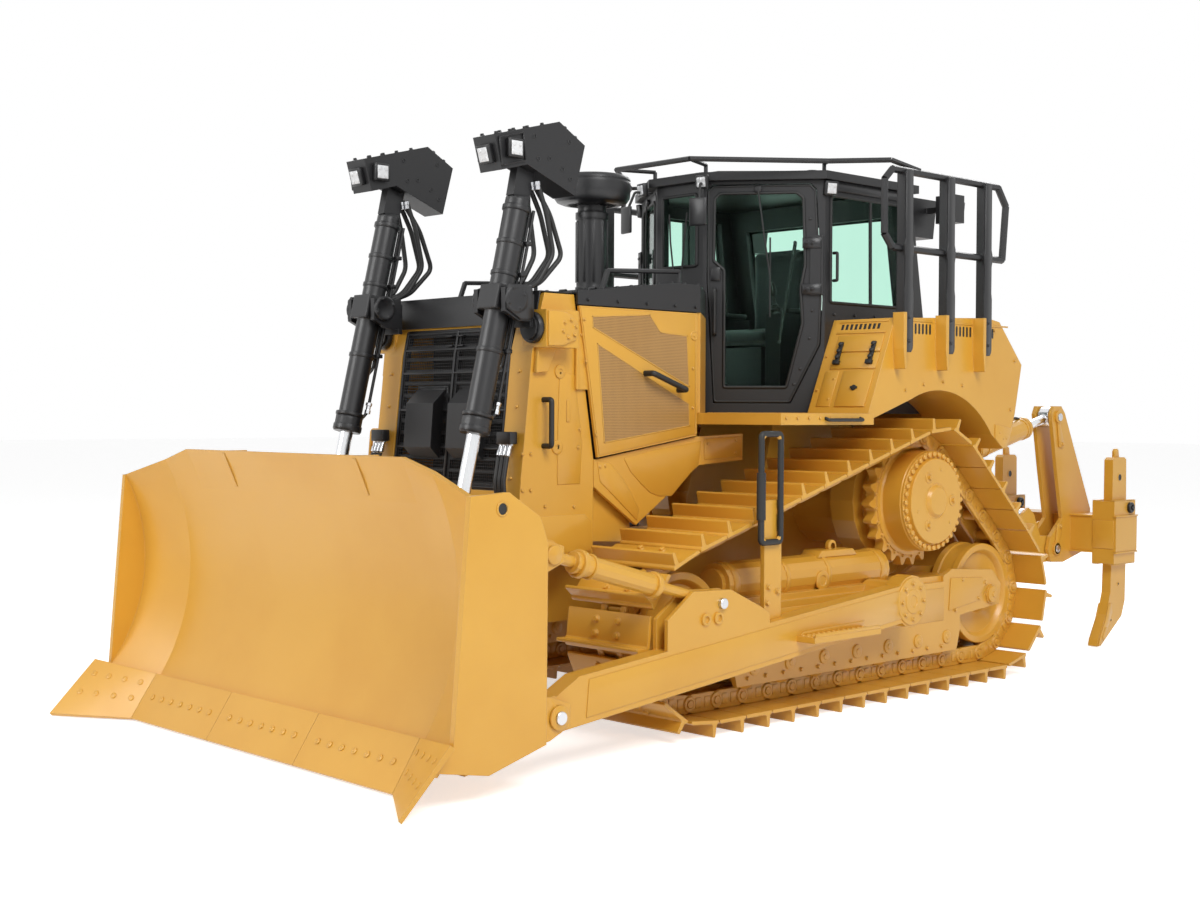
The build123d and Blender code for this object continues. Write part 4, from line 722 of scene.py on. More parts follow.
# ---------------------------------------------------------------- hood, stack and engine doors
# The hood is pressed sheet held down by rows of bolts. The stack is a rolled tube with ribs under
# a spun pre-cleaner bowl, and the side doors carry perforated screens and bent grab handles.
stack_foot = Matrix.Translation(at(-0.12, -1.8, 2.6123))
stack = bmesh.new()
turned(stack, pairs(0, 0, 0, 107, 22, 107, 26, 100, 50, 100, 455, 100, 459, 106, 500, 106, 504, 92, 548, 90,
    552, 190, 566, 226, 592, 244, 640, 248.5, 690, 248.5, 696, 244, 702, 244, 706, 248.5, 716, 246, 732, 232,
    738.5, 205, 739.5, 0), stack_foot, sides=72)
for i in range(10):
    angle = i * math.pi / 5
    rib = stack_foot @ Matrix.Rotation(angle, 4, "Z")
    cut_plate(stack, [rib @ Vector(corner) for corner in ((0.099, -0.005, 0.055), (0.107, -0.004, 0.055),
        (0.107, 0.004, 0.055), (0.099, 0.005, 0.055))], (0, 0, 0.39), 0.001)
for i in range(28):
    vane = stack_foot @ Matrix.Rotation(i * math.pi / 14, 4, "Z")
    cut_plate(stack, [vane @ Vector(corner) for corner in ((0.1, 0, 0.54), (0.198, 0.016, 0.556),
        (0.198, 0.018, 0.556), (0.1, 0.002, 0.54))], (0, 0, 0.006), 0)
bolts(stack, [at(-0.12, -1.908, 3.091)], (0, -1, 0), 0.022)
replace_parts(piece("stack_and_bowl", stack, coat_finish, sharp=30), "air_precleaner")

hood_bolts = bmesh.new()
for sign in (1, -1):
    for i in range(9):
        back = -2.6 + i * 0.115
        rise = 2.52 + (2.612 - 2.52) * (back + 2.7) / 0.8 if back < -1.9 else 2.612
        bolts(hood_bolts, [at(sign * 0.7, back, rise - 0.002)], (0, -0.11, 1), 0.02)
    bolts(hood_bolts, [at(sign * 0.7205, back, 2.475) for back in (-2.62, -2.38, -2.14, -1.9, -1.72)],
        (sign, 0, 0), 0.018)
    # raised lids on the hood with their hinges
    cut_plate(hood_bolts, [at(sign * 0.08, back, rise) for back, rise in pairs(-2300, 2566.4, -1960, 2605.5,
        -1960, 2611, -2300, 2571.9)], (sign * 0.42, 0, 0), 0.002)
    for x in (0.16, 0.42):
        side_boss(hood_bolts, pairs(-30, 8, -28, 10, 28, 10, 30, 8), sign * x, -2.305, 2.571, 1, 12)
piece("hood_fittings", hood_bolts, black_finish)

# perforated screen: paint set darker than the yellow steel, with dark dots on a fine square grid; both are
# painted shade of the holes and the space behind them
screen_paint_and_hole_shade = painted_steel("screen_paint_and_hole_shade", (0.5, 0.275, 0.075), (0.42, 0.215, 0.05), (0.72, 0.42, 0.12), 0.34,
    0.15, 0.1, edge=0.003)
screen_tree = screen_paint_and_hole_shade.node_tree
screen_split = screen_tree.nodes.new("ShaderNodeSeparateXYZ")
feed(screen_tree, screen_split.inputs, {0: node(screen_tree, "TexCoord", out="Object")})
HOLE_SPACING = 0.009
waves = []
for axis in ("Y", "Z"):
    stretched = node(screen_tree, "Math", {0: screen_split.outputs[axis], 1: 2 * math.pi / HOLE_SPACING},
        operation="MULTIPLY")
    waves.append(node(screen_tree, "Math", {0: stretched}, operation="COSINE"))
crossed_waves = node(screen_tree, "Math", {0: waves[0], 1: waves[1]})
hole_shade = node(screen_tree, "MapRange", {"Value": crossed_waves, "From Min": 0.2, "From Max": 0.7})
screen_sockets = screen_tree.nodes["Principled BSDF"].inputs
paint_tone = screen_sockets["Base Color"].links[0].from_socket
# the dark dot colour is painted shade, where the holes show the space behind the screen
feed(screen_tree, screen_sockets, {"Base Color": node(screen_tree, "Mix", {"Factor": hole_shade, "A": paint_tone,
    "B": (0.16, 0.085, 0.025, 1)}, "Result", data_type="RGBA")})

cover_line = pairs(-2680, 2428, -2588, 1912, -2532, 1582, -1712, 1700, -1712, 2428)
screen_lines = (pairs(-2590, 2380, -2122, 2410, -2030, 2310, -1800, 2296, -1780, 1990, -2585, 2318),
    pairs(-2550, 2225, -1780, 1885, -1776, 1752, -2490, 1655))
for side, sign in SIDES:
    face = sign * 0.7235
    screens = bmesh.new()
    for line in screen_lines:
        cut_plate(screens, [at(face, back, up) for back, up in line], (sign * 0.0012, 0, 0), 0)
    piece(f"door_screens_{side}", screens, (screen_paint_and_hole_shade, "yellow_paint"), f"engine_door_{side}_body")
    door = bmesh.new()
    cut_plate(door, [at(sign * 0.7195, back, up) for back, up in cover_line], (sign * 0.004, 0, 0), 0.001)
    for line in screen_lines:
        rim = [at(face, back, up) for back, up in line]
        for start, end in zip(rim, rim[1:] + rim[:1]):
            along = (end - start).normalized() * 0.003
            lean = along.cross(Vector((1, 0, 0)))
            cut_plate(door, [start - along + lean, end + along + lean, end + along - lean,
                start - along - lean], (sign * 0.0025, 0, 0), 0)
    # latch, folded rear edge and bolts
    side_boss(door, pairs(0, 30, 5, 29, 7, 24, 3, 22, 3, 10, 9, 8, 9, 0), face, -1.735, 2.3, sign, 28)
    side_plate(door, face, pairs(-1722, 2425, -1709, 2425, -1709, 1700, -1722, 1700), sign * 0.004, 0.0015)
    bolts(door, row(face, pairs(-2655, 2360, -2640, 2120, -2560, 1700, -1745, 2100, -1745, 1860)), (sign, 0, 0),
        0.016)
    piece(f"door_fittings_{side}", door, yellow_finish, f"engine_door_{side}_body")
    bead(f"door_handle_{side}", [across(face, sign * 0.796, (-2.16, 2.062), (-1.875, 1.968))], 0.0175,
        rubber_finish, f"engine_door_{side}_body", bend=0.03)

shields = bmesh.new()
for sign in (1, -1):
    face = sign * 0.695
    # lower panels, lapped over one another with a curved edge
    side_plate(shields, face, pairs(-2430, 1540, -2330, 1460, -2250, 1360, -2180, 1260, -2196, 1190,
        -2500, 1430, -2520, 1540), sign * 0.004, 0.001)
    side_plate(shields, face, pairs(-2306, 1559, -2250, 1480, -2163, 1408, -2090, 1355, -2011, 1329,
        -1902, 1325, -1660, 1520, -1640, 1655, -2100, 1600), sign * 0.004, 0.001)
    side_plate(shields, face, pairs(-1610, 1540, -1270, 1555, -1270, 1685, -1610, 1670), sign * 0.004, 0.001)
    bolts(shields, row(face, pairs(-2500, 1515, -2460, 1520, -1580, 1640, -1320, 1660, -1320, 1580)),
        (sign, 0, 0), 0.018)
piece("shield_panels", shields, yellow_finish)

# ---------------------------------------------------------------- lift cylinders, lamps and hoses
# Each barrel swings in a yoke. Its head carries a folded box with two square lamps, and hoses
# clamped to the barrel run down to the steel line that feeds its lower end.
lamp_glass = painted_steel("lamp_glass", (0.74, 0.75, 0.76), (0.62, 0.63, 0.64), (0.9, 0.9, 0.9), 0.12, 0.6,
    0.05, edge=0.002)
lens_finish = (lamp_glass, "window_glass")


def square_lamp(housing, lens, point, direction, size=0.105, depth=0.035):
    """A square work lamp: housing, bezel and a lens with four reflector domes; the housing's ribs are not
    drawn.
    """
    seat = aim(point, direction)
    half = size / 2
    corners = [(-half, -half), (half, -half), (half, half), (-half, half)]
    cut_plate(housing, [seat @ Vector((x, y, 0)) for x, y in corners], (seat.to_3x3() @ Vector((0, 0, depth))),
        0.006)
    inner = half - 0.014
    cut_plate(lens, [seat @ Vector((x * inner / half, y * inner / half, depth)) for x, y in corners],
        (seat.to_3x3() @ Vector((0, 0, 0.003))), 0.001)
    for x, y in corners:
        turned(lens, pairs(0, 14, 3, 13, 4.5, 8, 5, 0),
            seat @ Matrix.Translation((x * 0.42, y * 0.42, depth + 0.003)), sides=14)


BARREL_WAY = Vector((0, -0.2318, -0.9728))
PIVOT = (-3.1872, 2.4497)
for side, sign in SIDES:
    body = f"lift_barrel_{side}_body"
    boxes, lenses, metal = bmesh.new(), bmesh.new(), bmesh.new()
    front_out = Vector((0, -0.96, -0.28))
    square_lamp(boxes, lenses, at(sign * LIFT_X, -3.271, 3.245), front_out)
    square_lamp(boxes, lenses, at(sign * 0.696, -3.17, 3.275), (sign, 0, 0))
    square_lamp(boxes, lenses, at(sign * 0.512, -3.19, 3.268), (-sign, 0, 0))
    # frame of the recess round the outer lamp, holes and bolts of the side plates
    recess = pairs(-3250, 3175, -3080, 3218, -3100, 3370, -3272, 3325)
    for (back, up), (far_back, far_up) in zip(recess, recess[1:] + recess[:1]):
        start, end = at(sign * 0.696, back, up), at(sign * 0.696, far_back, far_up)
        side_way = (end - start).normalized().cross(Vector((1, 0, 0))) * 0.004
        cut_plate(boxes, [start + side_way, end + side_way, end - side_way, start - side_way],
            (sign * 0.012, 0, 0), 0.001)
    for x in (0.696, 0.512):
        way = sign if x > 0.6 else -sign
        for back, up in pairs(-3010, 3360, -2900, 3250, -2750, 3360, -2800, 3200, -2740, 3150, -2980, 3240):
            side_boss(boxes, pairs(0, 14, 3, 13, 4, 9, -2, 8, -2, 0), sign * x, back, up, way, 18)
    edge_line = pairs(-3250, 3356, -3150, 3382, -3050, 3407, -2940, 3436, -2770, 3436, -2690, 3391)
    for back, up in edge_line:
        for x in (0.53, 0.678):
            bolts(boxes, [at(sign * x, back, up - 0.002)], (0, -0.2 if back < -2.85 else 0.5, 1), 0.022)
    # clamps round the barrel, gland nut and head cap
    axis = lambda distance, x=0, y=0, z=0: at(sign * LIFT_X + x, -3.053 + BARREL_WAY.y * distance + y,
        3.013 + BARREL_WAY.z * distance + z)
    for distance, width, radius in ((0.04, 0.03, 0.079), (0.24, 0.026, 0.076), (0.42, 0.026, 0.076),
            (0.86, 0.026, 0.076), (1.225, 0.022, 0.086), (1.3, 0.036, 0.086)):
        turned(boxes, band(width, radius, 0.068), aim(axis(distance), BARREL_WAY), sides=40)
    for distance in (0.24, 0.42, 0.86):
        cut_plate(boxes, [axis(distance, -0.02, 0.07), axis(distance, 0.06, 0.07), axis(distance, 0.06, 0.112),
            axis(distance, -0.02, 0.112)], (0, 0, -0.024), 0.004)
        bolts(boxes, [axis(distance, 0.02, 0.112, -0.012)], (0, 1, 0), 0.018)
    piece(f"lamp_housings_{side}", boxes, coat_finish, body)
    piece(f"lamp_lenses_{side}", lenses, lens_finish, body)
    x = sign * LIFT_X
    hoses = []
    for shift, bulge in pairs(-55, 20, -18, 100, 22, 160, 60, 60):
        hoses.append([at(x + shift, -2.965, 3.12), at(x + shift, -2.93 + bulge * 0.6, 2.95),
            at(x + shift, -2.9 + bulge, 2.72), at(x + shift, -2.985 + bulge * 0.5, 2.56),
            at(x + shift * 1.1, -3.07, 2.5)])
    bead(f"lift_hoses_{side}", hoses, 0.0145, rubber_finish, body, bend=0.09)
    line = [[axis(0.06, 0.045, 0.092), axis(0.65, 0.045, 0.092), axis(1.22, 0.045, 0.092),
        axis(1.275, 0.03, 0.06)], [axis(0.06, 0.01, 0.094), axis(0.65, 0.01, 0.094), axis(0.95, 0.01, 0.094),
        axis(1.0, 0.005, 0.06)]]
    bead(f"steel_lines_{side}", line, 0.0095, black_finish, body, bend=0.04)
    turned(metal, pairs(0, 12, 0, 18, 22, 18, 24, 14, 46, 14, 48, 19, 66, 19, 66, 11),
        aim(axis(1.23, 0.045, 0.092), -BARREL_WAY), sides=6)
    for shift in (-0.055, -0.018, 0.022, 0.06):
        turned(metal, pairs(0, 14, 0, 19, 20, 19, 22, 16.5, 44, 16.5, 46, 14), aim(at(x + shift, -2.966, 3.118),
            (0, 0.15, -1)), sides=12)
    piece(f"hose_fittings_{side}", metal, zinc_finish, body)

yokes = bmesh.new()
for sign in (1, -1):
    for x, way in ((0.74, 1), (0.47, -1)):
        side_boss(yokes, pairs(0, 74, 14, 74, 18, 70, 18, 50, 15.5, 46, 15.5, 0), sign * x, *PIVOT, sign * way,
            40)
        bolts(yokes, [at(sign * (x + way * 0.018), PIVOT[0] + 0.06 * math.cos(a), PIVOT[1] + 0.06 * math.sin(a))
            for a in (0.4, 0.4 + math.pi / 2, 0.4 + math.pi, 0.4 + 3 * math.pi / 2)], (sign * way, 0, 0), 0.016)
    # cast cheeks outside the trunnions, and the neck that reaches back to the guard
    side_plate(yokes, sign * 0.741, pairs(-3255, 2395, -3255, 2500, -3235, 2530, -3075, 2530, -3065, 2340,
        -3150, 2335), sign * 0.012, 0.004)
    turned(yokes, pairs(0, 70, 0, 82, 12, 88, 30, 88, 34, 82), aim(at(sign * 0.7, -3.046, 2.3), (0, 1, 0)),
        sides=32)
piece("yoke_caps", yokes, coat_finish)

# hoses that drop beside each rod from the guard's front corner, with bright crimped ends
for side, sign in SIDES:
    drops = [[at(sign * (0.56 + i * 0.034), -3.15, 1.58), at(sign * (0.57 + i * 0.034), -3.185, 1.44),
        at(sign * (0.585 + i * 0.03), -3.17, 1.28), at(sign * (0.6 + i * 0.026), -3.12, 1.18)]
        for i in range(3)]
    bead(f"corner_hoses_{side}", drops, 0.014, rubber_finish, "tractor", bend=0.08)
    ends = bmesh.new()
    for i in range(3):
        turned(ends, pairs(0, 12, 0, 19, 30, 19, 34, 16, 60, 16, 62, 21, 80, 21, 80, 0),
            aim(at(sign * (0.56 + i * 0.034), -3.148, 1.585), (0, 0.35, 1)), sides=12)
    piece(f"corner_hose_ends_{side}", ends, zinc_finish)
    blocks = bmesh.new()
    side_plate(blocks, sign * 0.535, pairs(-3150, 1650, -3095, 1650, -3095, 1720, -3150, 1720), sign * 0.12,
        0.006)
    side_plate(blocks, sign * 0.575, pairs(-3145, 1120, -3095, 1120, -3095, 1190, -3145, 1190), sign * 0.11,
        0.006)
    piece(f"corner_hose_blocks_{side}", blocks, black_finish)

# ---------------------------------------------------------------- cab
# The cab is a folded and welded shell on rubber mounts. Each door hangs in the slanting side in a
# thick frame, with black rubber seals round its pane, a pull handle and a long wiper.
DOOR_SLANT = math.radians(37.5)
CAB_TOP = 3.352


def on_door(sign, along, up, out=0.0):
    """A point in the plane of a cab door: along it from the windshield's corner, up, and outwards."""
    return at(sign * (0.213 + along * math.cos(DOOR_SLANT) + out * math.sin(DOOR_SLANT)),
        -1.104 + along * math.sin(DOOR_SLANT) - out * math.cos(DOOR_SLANT), up)


pane_line = pairs(75, 3240, 110, 3272, 610, 3272, 655, 3235, 670, 2800, 640, 2640, 655, 2420, 550, 2000,
    140, 2000, 140, 2770, 70, 2830)
door_line = pairs(36, 3285, 64, 3318, 697, 3318, 729, 3285, 768, 2574, 758, 2281, 571, 1906, 79, 1906, 36, 2700)
for side, sign in SIDES:
    body = f"cab_door_{side}_body"
    outwards = on_door(sign, 0, 0, 1) - on_door(sign, 0, 0, 0)
    bead(f"door_seal_{side}", [[on_door(sign, a, up, 0.001) for a, up in pane_line]], 0.011, rubber_finish,
        body, bend=0.03, closed=True)
    bead(f"door_edge_{side}", [[on_door(sign, a, up, -0.004) for a, up in door_line]], 0.009, rubber_finish,
        body, bend=0.03, closed=True)
    pull = [[on_door(sign, 0.08, 2.64, 0.0), on_door(sign, 0.08, 2.64, 0.05), on_door(sign, 0.08, 2.35, 0.05),
        on_door(sign, 0.08, 2.35, 0.0)]]
    bead(f"door_pull_{side}", pull, 0.013, rubber_finish, body, bend=0.025)
    inner_rail = [[on_door(sign, 0.6, 2.95, -0.046), on_door(sign, 0.6, 2.95, -0.09),
        on_door(sign, 0.5, 2.3, -0.09), on_door(sign, 0.5, 2.3, -0.046)]]
    bead(f"door_inner_rail_{side}", inner_rail, 0.012, rubber_finish, body, bend=0.03)
    door = bmesh.new()
    # latch housing, hinge straps, wiper motor, arm and blade
    cut_plate(door, [on_door(sign, a, up, 0.0) for a, up in pairs(52, 2700, 116, 2700, 116, 2790, 52, 2790)],
        outwards * 0.016, 0.004)
    for up in (2.64, 2.94):
        cut_plate(door, [on_door(sign, a, up + rise, 0.018) for a, rise in pairs(650, -35, 775, -35, 775, 35,
            650, 35)], outwards * 0.008, 0.003)
        bolts(door, [on_door(sign, a, up, 0.026) for a in (0.675, 0.715)], outwards, 0.018)
    turned(door, pairs(0, 26, 20, 26, 26, 20, 26, 0), aim(on_door(sign, 0.36, 3.296, 0), outwards), sides=24)
    for a, up in pairs(700, 3100, 716, 2500, 700, 2320, 640, 2120, 600, 2020):
        turned(door, pairs(0, 10, 5, 9, 8, 5, 8, 0), aim(on_door(sign, a, up, 0), outwards), sides=14)
    piece(f"cab_door_fittings_{side}", door, coat_finish, body)
    bead(f"door_wiper_{side}", [[on_door(sign, 0.36, 3.296, 0.022), on_door(sign, 0.4, 3.0, 0.022),
        on_door(sign, 0.44, 2.72, 0.012)], [on_door(sign, 0.44, 2.98, 0.006), on_door(sign, 0.44, 2.74, 0.006),
        on_door(sign, 0.44, 2.46, 0.006)]], 0.006, rubber_finish, body)

# seals of the fixed windows, the divider in each side window, and wipers on the windshield
seal_runs = []
side_run = pairs(-561, 2556, 256, 2556, 178, 3256, -561, 3256)
for sign in (1, -1):
    seal_runs.append([at(sign * 0.8445, back, up) for back, up in side_run])
seal_runs.append([at(x, -1.105, up) for x, up in pairs(-155, 2803, 155, 2803, 155, 3277, -155, 3277)])
seal_runs.append([at(x, 0.33 + 0.15 * (CAB_TOP - up) / 0.852 + 0.001, up) for x, up in pairs(-637, 2563,
    637, 2563, 637, 3197, -637, 3197)])
bead("window_seals", seal_runs, 0.011, rubber_finish, "tractor", bend=0.04, closed=True)
dividers = [[at(sign * 0.838, -0.12, 2.56), at(sign * 0.838, -0.125, 2.9), at(sign * 0.838, -0.13, 3.255)]
    for sign in (1, -1)]
bead("window_dividers", dividers, 0.012, rubber_finish, "tractor")
bead("front_wipers", [[at(x, -1.125, 2.79), at(x * 1.6, -1.128, 2.98), at(x * 2.0, -1.12, 3.16)]
    for x in (0.04, -0.04)], 0.006, rubber_finish, "tractor")
bead("side_window_handles", [across(sign * 0.846, sign * 0.88, (-0.535, 2.7), (-0.535, 2.88))
    for sign in (1, -1)], 0.01, rubber_finish, "tractor", bend=0.02)

cab_parts, cab_lenses = bmesh.new(), bmesh.new()
for sign in (1, -1):
    # lamps under the roof, at its front corners and over the side window
    square_lamp(cab_parts, cab_lenses, at(sign * 0.852, -0.59, 3.298), (sign, -0.35, -0.15), size=0.095)
    square_lamp(cab_parts, cab_lenses, at(sign * 0.27, -1.165, 3.338), (sign * 0.25, -1, -0.12), size=0.09)
    square_lamp(cab_parts, cab_lenses, at(sign * 1.015, 0.489 + 0.112, 3.245), (0, 1, -0.15), size=0.12)
    # bolts along the skirt's slanting foot, a strip below the roof, and caps on top of it
    bolts(cab_parts, [at(sign * 0.8452, -0.56 + 0.085 * i, 2.3 - 0.03 * i) for i in range(5)], (sign, 0, 0),
        0.02)
    bolts(cab_parts, [at(sign * 0.8452, back, 2.48) for back in (-0.52, -0.3, -0.08, 0.14, 0.36)], (sign, 0, 0),
        0.018)
    side_plate(cab_parts, sign * 0.846, pairs(-600, 3285, 180, 3285, 185, 3340, -600, 3340), sign * 0.014,
        0.005)
    for back in (-0.58, 0.2):
        turned(cab_parts, pairs(0, 45, 16, 45, 22, 38, 22, 0), aim(at(sign * 0.7, back, 3.4075), (0, 0, 1)),
            sides=24)
# roof: a raised panel with a smaller one on top of it, and the antenna's foot
cut_plate(cab_parts, [at(x, back, 3.407) for x, back in pairs(-780, 280, 780, 280, 780, -520, 260, -1020,
    -260, -1020, -780, -520)], (0, 0, 0.022), 0.01)
cut_plate(cab_parts, [at(x, back, 3.429) for x, back in pairs(-520, 120, 520, 120, 520, -440, -520, -440)],
    (0, 0, 0.016), 0.008)
turned(cab_parts, pairs(0, 30, 12, 28, 20, 18, 44, 12, 44, 0), aim(at(-0.2, -0.93, 3.4075), (0, 0, 1)),
    sides=20)
piece("cab_fittings", cab_parts, coat_finish)
piece("cab_lamp_lenses", cab_lenses, lens_finish)

# mirrors on bent arms at the windshield's corners
bead("mirror_arms", [[at(sign * 0.24, -1.12, 3.32), at(sign * 0.3, -1.23, 3.32), at(sign * 0.33, -1.27, 3.2)]
    for sign in (1, -1)], 0.009, rubber_finish, "tractor")
mirrors = bmesh.new()
for sign in (1, -1):
    cut_plate(mirrors, [at(sign * x, back, up) for x, back, up in ((0.27, -1.285, 3.04), (0.39, -1.255, 3.04),
        (0.39, -1.255, 3.22), (0.27, -1.285, 3.22))], (0, -0.022, 0), 0.008)
piece("mirrors", mirrors, coat_finish)

# guard posts: flat bars in front of the tubes, pads at the feet and caps on the middle rail
POST_BACKS = (-0.465, 0.0, 0.435)
posts = bmesh.new()
for sign in (1, -1):
    for back in POST_BACKS:
        cut_plate(posts, [at(sign * 1.3895, back + a, up) for a, up in pairs(-47, 2262, -43, 2240, -30, 2226,
            30, 2226, 43, 2240, 47, 2262, 47, 2600, 40, 2640, 40, 2820, 48, 2850, 48, 2905, 38, 2935, 38, 3372,
            -38, 3372, -38, 2935, -48, 2905, -48, 2850, -40, 2820, -40, 2640, -47, 2600)], (sign * 0.01, 0, 0),
            0.002)
        bolts(posts, [at(sign * 1.3995, back, up) for up in (2.29, 2.44)], (sign, 0, 0), 0.022)
        turned(posts, pairs(-40, 26, -36, 32, 36, 32, 40, 26), aim(at(sign * 1.36, back, 2.88), (0, 1, 0)),
            sides=24)
piece("guard_post_bars", posts, coat_finish)

# ---------------------------------------------------------------- seat and controls
# A sewn air-ride seat: crowned cushion and back with side bolsters and piped seams, in woven cloth.
# Two consoles carry the levers, and the instrument panel stands on a pedestal in front.
cloth, cloth_tree, cloth_sockets = new_material("woven_cloth")
cloth_place = node(cloth_tree, "TexCoord", out="Object")
weave = []
for turn in (0.0, math.pi / 2):
    spun = node(cloth_tree, "Mapping", {"Vector": cloth_place, "Rotation": (0.3, turn, 0.2)})
    weave.append(node(cloth_tree, "TexWave", {"Vector": spun, "Scale": 90, "Distortion": 0.6}, "Fac"))
crossed = node(cloth_tree, "Math", {0: weave[0], 1: weave[1]}, operation="MULTIPLY")
cloth_tone = node(cloth_tree, "Mix", {"Factor": crossed, "A": (0.018, 0.019, 0.021, 1),
    "B": (0.055, 0.056, 0.06, 1)}, "Result", data_type="RGBA")
feed(cloth_tree, cloth_sockets, {"Base Color": cloth_tone, "Roughness": 0.85, "Sheen Weight": 0.35,
    "Normal": node(cloth_tree, "Bump", {"Strength": 0.4, "Distance": 0.001, "Height": crossed})})


def cushion(name, low, high, crown, bolster, up_axis):
    """A padded form between two corners, crowned on one face, with raised side bolsters."""
    shape = bmesh.new()
    low, high = Vector(low), Vector(high)
    middle, half = (low + high) / 2, (high - low) / 2
    bmesh.ops.create_cube(shape, size=2)
    bmesh.ops.subdivide_edges(shape, edges=shape.edges[:], cuts=15, use_grid_fill=True)
    others = [axis for axis in range(3) if axis != up_axis]
    for vert in shape.verts:
        a, b = vert.co[others[0]], vert.co[others[1]]
        # sides pull in between the corners, edges are rolled, and the face swells in its middle
        edge = max(abs(a), abs(b))
        roll_off = math.sqrt(max(0.0, 1 - max(0.0, (edge - 0.8) / 0.2) ** 2)) * 0.35 + 0.65
        swell = 1 + crown * (1 - a * a) * (1 - b * b) - (0.1 if edge > 0.98 else 0)
        ridge = bolster * max(0.0, 1 - abs(abs(a) - 0.78) / 0.2) * (1 - b ** 4)
        channel = 0.05 if abs(abs(a) - 0.52) < 0.05 or (abs(b) < 0.05 and abs(a) < 0.52) else 0.0
        height = vert.co[up_axis]
        vert.co[up_axis] = height * roll_off * (swell + ridge - channel if height > 0
            else 1) / (1 + crown + bolster)
        pull = 1 - 0.03 * (1 - b * b) - 0.05 * height * height
        vert.co[others[0]] = a * pull
        vert.co[others[1]] = b * (1 - 0.03 * (1 - a * a) - 0.05 * height * height)
        vert.co = middle + Vector([vert.co[axis] * half[axis] for axis in range(3)])
    bmesh.ops.smooth_vert(shape, verts=shape.verts[:], factor=0.5, use_axis_x=True, use_axis_y=True,
        use_axis_z=True)
    obj = piece(name, shape, (cloth, "seat_cloth"), sharp=80)
    softer = obj.modifiers.new("softer", "SUBSURF")
    softer.levels = 1
    softer.render_levels = 1
    return obj


seat_cushion = cushion("seat_cushion", at(-0.262, -0.562, 2.286), at(0.262, -0.07, 2.424), 0.18, 0.16, 2)
seat_back = cushion("seat_back", at(0.25, 0.03, 2.4), at(-0.25, -0.1, 2.985), 0.2, 0.18, 1)
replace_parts(seat_cushion, "seat")
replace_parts(seat_back, "seat")
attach(cushion("head_rest", at(0.15, 0.02, 2.87), at(-0.15, -0.085, 2.99), 0.15, 0.02, 1), "tractor")
piping = []
for x in (-0.135, 0.135):
    piping.append([at(x, -0.55, 2.405), at(x, -0.33, 2.418), at(x, -0.1, 2.41)])
bead("seat_piping", piping, 0.003, rubber_finish, "tractor")

controls = bmesh.new()
for sign in (1, -1):
    # arm pad, lever gaiter and grip on each console; its side switches are not drawn
    side_plate(controls, sign * 0.285, pairs(-500, 2506, -100, 2506, -80, 2545, -460, 2545), sign * 0.14, 0.012)
    turned(controls, pairs(0, 48, 10, 46, 20, 36, 32, 38, 44, 26, 56, 27, 66, 13, 120, 11, 130, 20, 160, 26,
        200, 22, 215, 12, 218, 0), aim(at(sign * 0.355, -0.525, 2.506), (0, -0.25, 1)), sides=20)
side_plate(controls, -0.2, pairs(-985, 2626, -880, 2630, -905, 2780, -975, 2760), 0.4, 0.012)
for x in (-0.13, 0.0, 0.13):
    turned(controls, pairs(0, 40, 6, 40, 8, 34, 3, 31, 3, 0), aim(at(x, -0.893, 2.705), (0, 1, 0.17)), sides=24)
for x in (-0.1, 0.1):
    cut_plate(controls, across(x - 0.055, x + 0.055, (-0.87, 1.9), (-0.78, 2.02)), (0, 0.008, 0.008), 0.004)
piece("cab_controls", controls, (black_rubber, "cab_plastic"))

